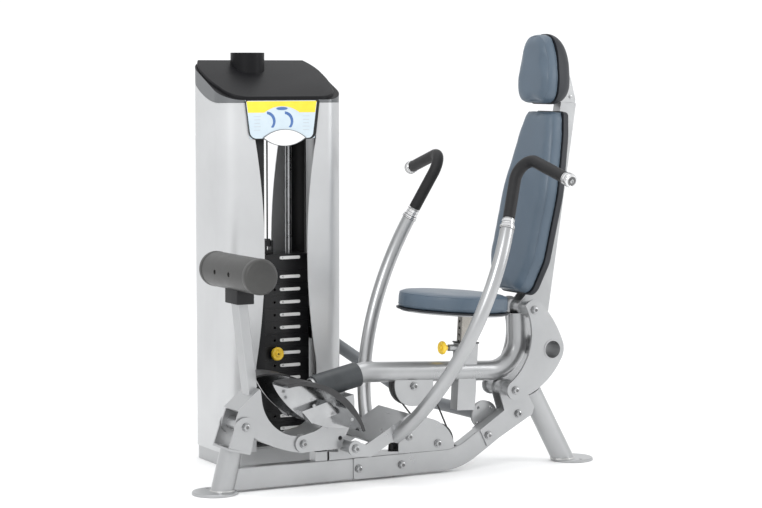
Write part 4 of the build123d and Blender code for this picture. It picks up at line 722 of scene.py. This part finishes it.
def board_outline(left, right, below, above, radii):
    """The board's four corners drawn in at the left, right, foot and head, and rounded."""
    low, high = BOARD_LOW + below, BOARD_HIGH - above
    corners = [(-board_half(BOARD_LOW, left[0]), low), (board_half(BOARD_LOW, right[0]), low),
               (board_half(BOARD_HIGH, right[1]), high), (-board_half(BOARD_HIGH, left[1]), high)]
    return rounded_polygon(corners, radii)


def board_dressing():
    """A bare card in a black frame: yellow head with an arched foot, pale blue below with plain bars and two
    blue sweeps, and a white lens plate at the foot."""
    rim = board_outline((-0.003, -0.003), (-0.003, -0.003), -0.003, -0.002, [0.030, 0.030, 0.010, 0.010])
    on_board("board_frame", rim, 0.0, RIM_T, FINISH["cap"], "cap")
    card = board_outline((0.001, 0.001), (0.010, 0.010), 0.001, 0.002, [0.028, 0.022, 0.008, 0.008])
    on_board("board_card", card, RIM_T, CARD_T, FINISH["board"], "board")
    low, high = BOARD_LOW, BOARD_HIGH
    foot = high - HEAD_DROP
    arch = arc((ARCH[0], foot), (ARCH[1], foot + ARCH[3]), (ARCH[2], foot), 18)
    head = np.concatenate([[(-board_half(high, 0.003), high - 0.004), (-board_half(foot, 0.003), foot)], arch,
                           [(board_half(foot, 0.012), foot), (board_half(high, 0.012), high - 0.004)]])
    on_board("board_head", head, ON_CARD, 0.0005, YELLOW_CARD, "yellow")
    for k, x in enumerate((-0.108, 0.098)):
        for j in range(5):
            length = LINE_LENGTH - 0.003 * (j % 3)
            bar = rounded_rectangle(length, LINE_H, 0.001, 4) + np.array([x, foot - 0.014 - LINE_STEP * j])
            on_board(f"board_line_{k}{j}", bar, ON_CARD, INK_T, GREY_INK, "board")
    for k, x in enumerate((-0.045, 0.030)):
        outer = arc((x - 0.022, foot + 0.004), (x + 0.012, foot - 0.020), (x + 0.004, foot - 0.058), 14)
        inner = arc((x - 0.006, foot - 0.056), (x + 0.001, foot - 0.024), (x - 0.022, foot - 0.006), 14)
        on_board(f"board_sweep_{k}", np.concatenate([outer, inner]), ON_CARD, INK_T, BLUE_INK, "board")
    turn = np.linspace(0, 2 * np.pi, 28, endpoint=False)
    oval = np.stack([0.024 * np.cos(turn) - 0.004, 0.006 * np.sin(turn) + foot + 0.015], -1)
    on_board("board_oval", oval, 0.0023, 0.0005, BLUE_INK, "board")
    left, right = (-LENS_HALF, 0), (LENS_HALF, 0)
    lens = np.concatenate([arc(left, (0, LENS_RISE), right, 20)[:-1],
                           arc(right, (0, -LENS_RISE), left, 20)[:-1]])
    centre = np.array([0.006, low + 0.003])
    on_board("board_lens_rim", lens * LENS_RIM + centre, 0.0023, 0.0030, FINISH["link_paint"], "cap")
    on_board("board_lens", lens + centre, 0.0050, 0.0010, WHITE, "board")


# ------------------------------------------------------------------ the floor
def floor():
    """A wide pale floor a millimetre below the machine's feet."""
    half, z = 40, -0.001
    mesh = bpy.data.meshes.new("floor")
    corners = [(-half, -half, z), (half, -half, z), (half, half, z), (-half, half, z)]
    mesh.from_pydata(corners, [], [(0, 1, 2, 3)])
    mesh.materials.append(FLOOR)
    added("floor", mesh)


# ------------------------------------------------------------------ pads and their shells
BACK_TILT = math.radians(12.5)
HEAD_TILT = math.radians(2.2)
SEAT_TILT = math.radians(4.0)
BACK_FACE = (np.array([1.3175, 0, 0.834]), BACK_TILT)
HEAD_FACE = (np.array([1.376, 0, 1.520]), HEAD_TILT)
SEAT_AT = np.array([0.978, 0, 0.602])
SEAT_AXIS = np.array([math.sin(SEAT_TILT), 0, math.cos(SEAT_TILT)])
SEAT_R = 0.214
SEAT_PROFILE = [(0.200, 0.0125), (0.210, 0.0140), (0.2135, 0.0200), (0.2140, 0.0450), (0.2135, 0.0690),
                (0.2105, 0.0745), (0.2030, 0.0765), (0.1500, 0.0785), (0.0600, 0.0800), (0.0010, 0.0802)]
BACK_CORNERS = ([(0.118, -0.184), (0.172, -0.050), (0.175, 0.215), (0.131, 0.440), (0.098, 0.531)],
                [0.060, 0.110, 0.400, 0.300, 0.024])
HEAD_CORNERS = ([(0.106, -0.144), (0.123, -0.060), (0.104, 0.056), (0.060, 0.131)],
                [0.062, 0.180, 0.200, 0.085])
BACK_REAR, BACK_FRONT = -0.026, -0.078
HEAD_REAR, HEAD_FRONT = 0.0, -0.052
DOME_DEPTH, DOME_APEX, DOME_POWER = 0.090, (0, -0.040), 0.9
TRAY_EDGE = 0.010
FRONT_WELT, REAR_WELT = 0.0016, 0.0015


def pad_outline(corners, inset=0.0, count=14):
    """The symmetric outline of a pad, drawn in by the inset towards its middle."""
    right, radii = np.array(corners[0]), corners[1]
    left = right[::-1] * np.array([-1, 1])
    outline = rounded_polygon(np.concatenate([right, left]), radii + radii[::-1], count)
    after = np.roll(outline, -1, 0) - np.roll(outline, 1, 0)
    normal = np.stack([-after[:, 1], after[:, 0]], -1)
    return outline + inset * normal / np.maximum(np.linalg.norm(normal, axis=1, keepdims=True), 1e-9)


def pad_rings(corners, steps, face, count=14):
    """A pad's outline at each step of (inset, out), as points of its leaning face."""
    rings = np.array([pad_outline(corners, inset, count) for inset, _ in steps])
    out = np.array([step[1] for step in steps])[:, None] + np.zeros(rings.shape[:2])
    return on_face(face, rings[..., 0], rings[..., 1], out)


def on_face(face, across, up, out):
    """World points of a leaning face: across along Y, up the slope, out to the rear."""
    origin, lean = face
    slope = np.array([math.sin(lean), 0, math.cos(lean)])
    rear = np.array([math.cos(lean), 0, -math.sin(lean)])
    across, up, out = np.broadcast_arrays(across, up, out)
    return origin + across[..., None] * np.array([0, 1.0, 0]) + up[..., None] * slope + out[..., None] * rear


def welt(name, pad, path, radius, body):
    """A round seam laid on a pad: each point of the path goes to the nearest point of the pad's skin."""
    faces = [tuple(face.vertices) for face in pad.data.polygons]
    tree = BVHTree.FromPolygons(points_of(pad.data).tolist(), faces)
    found = [tree.find_nearest(Vector(point)) for point in path]
    laid = np.array([place + normal * radius * 0.25 for place, normal, _, _ in found])
    for _ in range(6):
        laid = 0.5 * laid + 0.25 * (np.roll(laid, 1, 0) + np.roll(laid, -1, 0))
    up = np.array([normal for _, normal, _, _ in found])
    return bead(name, laid, radius, up, FINISH["vinyl"], body)


def moulding(name, points):
    """Stacked rings of a pad's outline in the shell's finish, standing in for the pads' shells."""
    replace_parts(stacked(name, points, FINISH["shell"], "carriage"), "pad_shells")


def head_shell():
    """A domed back: the outline's rings drawn towards the apex by cos s while the depth grows with sin s."""
    rim = pad_outline(HEAD_CORNERS, 0.004)
    apex = np.array(DOME_APEX)
    s = np.linspace(0, np.pi / 2 - 0.04, 22)
    rings = apex + (rim - apex)[None] * (np.cos(s) ** DOME_POWER)[:, None, None]
    moulding("head_shell", on_face(HEAD_FACE, rings[..., 0], rings[..., 1], DOME_DEPTH * np.sin(s)[:, None]))


def back_shell():
    """A shallow moulded tray behind the back pad: rings of (inset, out) with a rounded rear edge."""
    s = np.linspace(0, np.pi / 2, 8)
    steps = [(0.004, BACK_REAR)]
    steps += [(0.004 + TRAY_EDGE * (1 - math.cos(a)), -TRAY_EDGE * (1 - math.sin(a))) for a in s]
    moulding("back_shell", pad_rings(BACK_CORNERS, steps, BACK_FACE))


def loose_form(name, points):
    """A closed form of stacked rings, ready to be blown up as a cushion."""
    rows, columns = points.shape[:2]
    mesh = bpy.data.meshes.new(name)
    faces = quads(rows, columns, close_columns=True).tolist() + [list(cap) for cap in end_caps(rows, columns)]
    mesh.from_pydata(points.reshape(-1, 3).tolist(), [], faces)
    outward(mesh)
    return added(name, mesh)


def pad_form(name, corners, face, rear, front):
    """A leaning pad: its outline carried from the shell forward, drawn in round the front edge and
    crowned."""
    steps = [(0.004, rear), (0.0, rear - 0.005), (-0.001, (rear + front) / 2), (0.001, front + 0.012),
             (0.006, front + 0.004), (0.014, front + 0.0005), (0.034, front - 0.0015)]
    return loose_form(name, pad_rings(corners, steps, face, 18))


def seat_form():
    """The seat's disc as a turned profile with a crisp upper edge."""
    return loose_form("seat_cushion", rings_about(SEAT_PROFILE, SEAT_AT, SEAT_AXIS, 160))


def rearward(lean):
    """The unit vector square to a leaning face, towards the machine's rear."""
    return np.array([math.cos(lean), 0, -math.sin(lean)])


def pads():
    """The three cushions, their round seams and the moulded shells behind them."""
    back = cushion(pad_form("back_cushion", BACK_CORNERS, BACK_FACE, BACK_REAR, BACK_FRONT), "back_pad",
                   "carriage", rearward(BACK_TILT), 0.009)
    head = cushion(pad_form("head_cushion", HEAD_CORNERS, HEAD_FACE, HEAD_REAR, HEAD_FRONT), "head_pad",
                   "carriage", rearward(HEAD_TILT), 0.007)
    seat = cushion(seat_form(), "seat_pad", "seat", -SEAT_AXIS, 0.004)
    for name, pad, corners, face, front, rear in (
            ("back", back, BACK_CORNERS, BACK_FACE, BACK_FRONT + 0.004, BACK_REAR - 0.008),
            ("head", head, HEAD_CORNERS, HEAD_FACE, HEAD_FRONT + 0.004, HEAD_REAR - 0.010)):
        edge = pad_outline(corners, 0.007)
        welt(f"{name}_front_welt", pad, on_face(face, edge[:, 0], edge[:, 1], front), FRONT_WELT, "carriage")
        edge = pad_outline(corners, 0.0)
        welt(f"{name}_rear_welt", pad, on_face(face, edge[:, 0], edge[:, 1], rear), REAR_WELT, "carriage")
    for name, radius, height, fat in (("seat_upper_welt", 0.211, 0.074, 0.0017),
                                      ("seat_lower_welt", SEAT_R, 0.024, REAR_WELT)):
        welt(name, seat, rings_about([(radius, height)], SEAT_AT, SEAT_AXIS, 200)[0], fat, "seat")
    turned("seat_rim", [(0.196, 0.006), (0.2105, 0.006), (0.2125, 0.0075), (0.2125, 0.0125), (0.196, 0.0125)],
           SEAT_AT, SEAT_AXIS, FINISH["shell"], "seat", 120)
    head_shell()
    back_shell()


# ------------------------------------------------------------------ knobs, caps and lining
KNOB_SHAPE = np.array([(0.35, 0), (0.80, 0.05), (0.95, 0.18), (1.0, 0.42), (0.985, 0.68), (0.90, 0.90),
                       (0.80, 0.97), (0.68, 0.92), (0.46, 0.84), (0.40, 0.84), (0.385, 1.02), (0.33, 1.10),
                       (0.02, 1.14)])


def knob(name, place, axis, size, body):
    """A round hand knob of (radius, thickness): a rolled rim, a dished face and a button in the middle."""
    return turned(name, KNOB_SHAPE * size, place, axis, FINISH["yellow"], body, 64)


SELECTOR_AT = np.array([STACK_X, 0.5597, 0.413])
SELECTOR_OUT = np.array([0, -1.0, 0])
PULL_AT = np.array([0.9532, 0, 0.4697])
PULL_LEAN = math.radians(3.0)


def knob_on_pin(names, at, axis, rise, size, neck, pin, body, node):
    """A knob at its rise, a yellow neck below it and a steel pin, in place of a CAD node."""
    pieces = [knob(names[0], at + axis * rise, axis, size, body),
              turned(names[1], neck, at, axis, FINISH["yellow"], body, 32),
              turned(names[2], pin, at, axis, FINISH["zinc"], body, 24)]
    for piece in pieces:
        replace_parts(piece, node)


def knobs():
    """The stack's selector and the seat's pull pin, each a yellow knob on a steel pin."""
    knob_on_pin(("selector_knob", "selector_neck", "selector_shank"), SELECTOR_AT, SELECTOR_OUT, 0.014,
                (0.0265, 0.018), [(0.0115, 0.0), (0.0115, 0.010), (0.0095, 0.013), (0.0095, 0.016)],
                [(0.0048, -0.077), (0.0050, -0.074), (0.0050, 0.012)], "selector", "selector_pin")
    mark = rounded_polygon([(0, 0.0058), (-0.0050, -0.0029), (0.0050, -0.0029)], 0.0008, 4)
    plate("selector_mark", mark, 0.0005, SELECTOR_AT + SELECTOR_OUT * 0.0344, *UPRIGHT, FINISH["rubber"],
          "selector", "rubber", 0.0002)
    axis = np.array([-math.cos(PULL_LEAN), 0, math.sin(PULL_LEAN)])
    knob_on_pin(("seat_pull", "seat_pull_neck", "seat_pull_shank"), PULL_AT, axis, 0.011, (0.0255, 0.017),
                [(0.0110, 0.0), (0.0110, 0.008), (0.0130, 0.013)],
                [(0.0048, -0.0515), (0.0050, -0.049), (0.0050, 0.006)], "seat_pin", "seat_knob")


# ------------------------------------------------------------------ the press arms' handles
HANDLE_START = np.array([0.9925, 0.36655, 0.9354])
HANDLE_RUN = np.array([[1.10367, 0.269, 1.20645], [1.120, 0.577, 1.123]])
HANDLE_BEND = 0.062
GRIP_AT, GRIP_SHORT = 0.046, 0.0170
GRIP_RADIUS = 0.0222
CAP_RADIUS, CAP_END = 0.0244, 0.0183
CAP_SHELL = [(0.0200, -0.0165), (0.0232, -0.0164), (0.0241, -0.0158), (CAP_RADIUS, -0.0145),
             (CAP_RADIUS, 0.0120), (0.0240, 0.0158), (0.0226, 0.0178), (0.0206, 0.0184)]
CAP_LIP = [(0.0165, -0.0010), (0.0170, 0.0012), (0.0182, 0.0020), (0.0200, 0.0016), (0.0206, -0.0010)]
CAP_FLOOR = [(0.0166, -0.0004), (0.0166, 0.0003), (0.0010, 0.0003)]
CAP_SCREW = [(0.0080, 0.0), (0.0082, 0.0022), (0.0066, 0.0038), (0.0036, 0.0042), (0.0034, 0.0022),
             (0.0004, 0.0020)]
CAP_GROOVES = ((-0.0105, 0.0008), (0.0030, 0.0010), (0.0112, 0.0007))


def handle(side):
    """One handle's start, corner and end, and the unit vector from its corner to its end."""
    start, (corner, end) = HANDLE_START * (1, side, 1), HANDLE_RUN * (1, side, 1)
    return start, corner, end, unit(end - corner)


def handle_ends():
    """A bright cap on each handle: a shell with grooves drawn as cords of painted shade, a rolled lip, a sunk
    floor painted dark as shade and a screw.
    """
    for side in (-1, 1):
        tag = side + 1
        _, _, end, out = handle(side)
        turned(f"cap_shell_{tag}", CAP_SHELL, end, out, FINISH["chrome"], "press_arms", 64)
        for k, (along, fat) in enumerate(CAP_GROOVES):
            loop = rings_about([(CAP_RADIUS, along)], end, out, 64)[0]
            # Each groove is a dark cord of painted shade laid on the shell.
            bead(f"cap_groove_{tag}_{k}", loop, fat, out, SHADE_DARK_METAL, "press_arms")
        face = end + out * CAP_END
        turned(f"cap_lip_{tag}", CAP_LIP, face, out, FINISH["chrome"], "press_arms", 56)
        turned(f"cap_floor_{tag}", CAP_FLOOR, face, out, SHADE_DARK_METAL, "press_arms", 48)
        turned(f"cap_screw_{tag}", CAP_SCREW, face, out, FINISH["zinc"], "press_arms", 32)


def bent_run(start, corner, end, radius, count=20):
    """Two straight runs joined by an arc that touches both at radius * tan(half the turn)."""
    back, ahead = unit(start - corner), unit(end - corner)
    half = math.acos(float(back @ ahead)) / 2
    middle = corner + unit(back + ahead) * radius / math.sin(half)
    first, last = corner + back * radius / math.tan(half), corner + ahead * radius / math.tan(half)
    t = np.linspace(0, 1, count)[:, None]
    turn = math.pi - 2 * half
    swing = np.sin((1 - t) * turn) * (first - middle) + np.sin(t * turn) * (last - middle)
    bend = middle + swing / math.sin(turn)
    u = np.linspace(0, 1, 12, endpoint=False)[:, None]
    return np.concatenate([start + (first - start) * u, bend, last + (end - last) * u[1:], [end]])


def grips():
    """A thick rubber sleeve over each handle."""
    for side in (-1, 1):
        start, corner, end, out = handle(side)
        first = start + unit(corner - start) * GRIP_AT
        path = bent_run(first, corner, end - out * GRIP_SHORT, HANDLE_BEND)
        up = np.cross(corner - start, end - corner)
        sleeve = carried(f"grip_{side + 1}", path, round_section(GRIP_RADIUS, 28), up, FINISH["rubber"],
                         "press_arms")
        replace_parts(sleeve, "hand_grips")


# Rings round each collar: (along, radius, thickness, finish); the dark ones are painted shade in grooves.
COLLAR_RINGS = ((0.0016, 0.0274, 0.0011, SHADE_DARK_METAL), (0.0070, 0.0276, 0.0009, SHADE_DARK_METAL),
                (0.0150, 0.0231, 0.0012, SHADE_DARK_METAL), (0.0215, 0.0232, 0.0013, FINISH["chrome"]),
                (0.0275, 0.0230, 0.0008, SHADE_DARK_METAL), (0.0400, 0.0231, 0.0010, SHADE_DARK_METAL))


def collar_rings():
    """Fine grooves drawn as dark cords of painted shade, and a raised bright bead, round the two bright
    collars of each arm.
    """
    for side in (-1, 1):
        start, corner, _, _ = handle(side)
        for k, (along, radius, fat, finish) in enumerate(COLLAR_RINGS):
            loop = rings_about([(radius, along)], start, corner - start, 72)[0]
            bead(f"collar_ring_{side + 1}_{k}", loop, fat, corner - start, finish, "press_arms")


# ------------------------------------------------------------------ bolts, covers and small trim
BOLTS = {"frame": ((0.092, 0.243, 0.081), (0.505, 0.141, 0.133), (0.902, 0.115, 0.036),
                   (0.779, 0.150, 0.036), (0.565, 0.048, 0.041), (0.745, 0.048, 0.041),
                   (1.118, 0.130, 0.042), (1.250, 0.203, 0.042)),
         "rear_link": ((1.199, 0.304, 0.106), (1.281, 0.605, 0.106)),
         "carriage": ((0.800, 0.338, 0.036),),
         "front_link": ((0.320, 0.165, 0.0813),)}
BOLT_DOME = [(0.0108, 0.0), (0.0106, 0.0010), (0.0088, 0.0022), (0.0062, 0.0027), (0.0058, 0.0014),
             (0.0004, 0.0012)]
BOLT_SOCKET = [(0.0057, 0.0013), (0.0057, 0.0018), (0.0004, 0.0018)]
# A ring of painted shadow round each washer: its radius, its distance behind the head and its cord's
# thickness.
WASHER_R, WASHER_BACK, WASHER_SHADOW_FAT = 0.0153, 0.0102, 0.0007


def bolt_faces():
    """On each bolt's head a domed face with its sunk socket painted dark as shade, and a dark line of painted
    shadow round its washer.
    """
    t = np.linspace(0, 2 * np.pi, 48, endpoint=False)
    for body, places in BOLTS.items():
        for (k, (x, z, depth)), side in product(enumerate(places), (-1, 1)):
            name, place, out = f"{body}_{side + 1}_{k}", np.array([x, side * depth, z]), (0, side, 0)
            turned("bolt_dome_" + name, BOLT_DOME, place, out, FINISH["zinc"], body, 32)
            turned("bolt_socket_" + name, BOLT_SOCKET, place, out, SHADE_DARK_METAL, body, 24)
            y = np.full_like(t, -side * WASHER_BACK)
            loop = place + np.stack([WASHER_R * np.cos(t), y, WASHER_R * np.sin(t)], -1)
            bead("bolt_shadow_ring_" + name, loop, WASHER_SHADOW_FAT, (0, 1, 0), SHADE_DARK_METAL, body, 6)


DRUM_AT = (0.094, 0.205, 0.790)
DRUM_RADIUS, DRUM_ROUND = 0.0645, 0.0120
BLOCK_X = 0.101


def drum_ends():
    """A close cap over each end of the drum, its seam 30 mm in and its rim rounded."""
    s = np.linspace(0, np.pi / 2, 9)
    flat = DRUM_RADIUS - 0.0002 - DRUM_ROUND
    round_edge = np.stack([flat + DRUM_ROUND * np.cos(s), -0.0115 + DRUM_ROUND * np.sin(s)], -1)
    seam = [(0.0628, -0.0300), (0.0641, -0.0298), (DRUM_RADIUS, -0.0290)]
    profile = np.concatenate([seam, round_edge, [(0.0020, 0.0005)]])
    for side in (-1, 1):
        place = np.array(DRUM_AT) * (1, side, 1)
        turned(f"drum_cap_{side + 1}", profile, place, (0, side, 0), DRUM, "front_link", 96)


def block_cover():
    """A moulded cover over the bar's head: a rounded box in four rings with soft upper and lower edges."""
    plan = rounded_rectangle(0.0676, 0.1096, 0.006, 6)
    small = rounded_rectangle(0.0636, 0.1056, 0.005, 6)
    rings = [(small, 0.6800), (plan, 0.6820), (plan, 0.7100), (plan, 0.7360)]
    points = np.stack([np.column_stack([ring + (BLOCK_X, 0.0), np.full(len(ring), z)]) for ring, z in rings])
    stacked("bar_block_cover", points, FINISH["rubber"], "front_link")


def opening_shade_strip():
    """A dark strip of painted shade behind the left edge of the tower's opening, where the inside lies in
    shadow, from the base to the board.
    """
    left, right, low, high = 0.330, 0.4208, 0.075, 1.300
    strip = [(left, low), (right, low), (right, high), (left, high)]
    plate("opening_shade_strip", strip, 0.002, (0, 0.4735, 0), *UPRIGHT, FINISH["rubber"], "frame", "cap", 0.0004)


def both_sides(name, outline, depth, thickness, finish, body, slot):
    """A plate on each side of the machine's middle plane, its outline in X and Z."""
    plate(name + "_near", outline, thickness, (0, -depth, 0), *UPRIGHT, finish, body, slot)
    mirrored = np.asarray(outline, float) * (-1, 1)
    plate(name + "_far", mirrored, thickness, (0, depth, 0), (-1, 0, 0), (0, 0, 1), finish, body, slot)


SCREW_SHAPE = np.array([(1.25, 0.0), (1.25, 0.0008), (1.0, 0.0010), (0.92, 0.0024), (0.60, 0.0036),
                        (0.42, 0.0038), (0.40, 0.0022), (0.04, 0.0021)])


def button_screws(name, places, depth, body, radius=0.0062):
    """Domed socket screws on both sides of the middle plane, at places in X and Z."""
    profile = SCREW_SHAPE * (radius, 1)
    for side, (k, (x, z)) in product((-1, 1), enumerate(places)):
        turned(f"{name}_{side + 1}_{k}", profile, (x, side * depth, z), (0, side, 0), FINISH["zinc"], body,
               24)


CHEEK_Y, CHEEK_T = 0.0252, 0.003


def head_cheeks():
    """The two cheek plates that hold the head rest on the post, with their screws."""
    cheek = rounded_polygon([(1.4060, 1.3890), (1.4990, 1.3850), (1.4860, 1.4500), (1.4660, 1.4730)],
                            [0.004, 0.004, 0.014, 0.008])
    both_sides("head_cheek", cheek, CHEEK_Y, CHEEK_T, FINISH["silver"], "carriage", "silver")
    button_screws("head_screw", [(1.4692, 1.4502), (1.4786, 1.4072)], CHEEK_Y + CHEEK_T, "carriage")


FOOT_ARC = ((0.196, 0.396), (0.385, 0.365), (0.500, 0.215))
FOOT_SIDE = 0.1951


def foot_rims():
    """A crescent of rubber on each side of the foot plates: the tread's arc, with the inner edge drawn in by
    depth * sin(pi * u) along it."""
    outer = arc(*FOOT_ARC, 40)
    middle = outer.mean(0)
    centre = arc_centre(outer[0], outer[len(outer) // 2], outer[-1])
    ray = (outer - centre) / np.linalg.norm(outer - centre, axis=1, keepdims=True)
    u = np.linspace(0, 1, len(outer))
    deep = 0.0035 + 0.0150 * np.sin(np.pi * u ** 1.5) ** 1.2
    rim = np.concatenate([outer + ray * 0.0055, (outer - ray * deep[:, None])[::-1]])
    for side in (-1, 1):
        ring = np.stack([np.column_stack([rim[:, 0], np.full(len(rim), side * y), rim[:, 1]])
                         for y in (FOOT_SIDE, FOOT_SIDE + 0.0024, FOOT_SIDE + 0.0034)])
        ring[2, :, [0, 2]] += 0.02 * (middle - rim).T
        rows, columns = ring.shape[:2]
        n = len(outer)
        bands = [[k, k + 1, 2 * n - 2 - k, 2 * n - 1 - k] for k in range(n - 1)]
        faces = list(quads(rows, columns, close_columns=True)) + bands
        faces += [[(rows - 1) * columns + k for k in band] for band in bands]
        make_piece(f"foot_rim_{side + 1}", ring, faces, TREAD, "carriage")


def foot_screws():
    """Three small screws through each side of the foot plates."""
    places = [(0.292, 0.345), (0.300, 0.322), (0.452, 0.262)]
    button_screws("foot_screw", places, FOOT_SIDE + 0.0001, "carriage", 0.0050)


LEG_WELD_R = 0.0415
FLOOR_PLATE_TOP = 0.0102


def leg_welds():
    """Beads where the two legs stand on their floor plates: ellipses of the leaning tubes at the plate."""
    t = np.linspace(0, 2 * np.pi, 180, endpoint=False)
    for name, x, lean_z in (("front_leg_weld", 0.0296, 0.9686), ("rear_leg_weld", 1.4725, 0.8758)):
        height = FLOOR_PLATE_TOP + 0.0004 * np.sin(31 * t)
        loop = np.stack([x + LEG_WELD_R / lean_z * np.cos(t), LEG_WELD_R * np.sin(t), height], -1)
        bead(name, loop, 0.0034, (0, 0, 1), WELD, "frame")


set_camera()
set_studio()
floor()
dress_nodes()
pads()
weight_labels()
board_dressing()
knobs()
handle_ends()
stack_rope()
grips()
collar_rings()
bolt_faces()
drum_ends()
block_cover()
opening_shade_strip()
leg_welds()
head_cheeks()
foot_rims()
foot_screws()
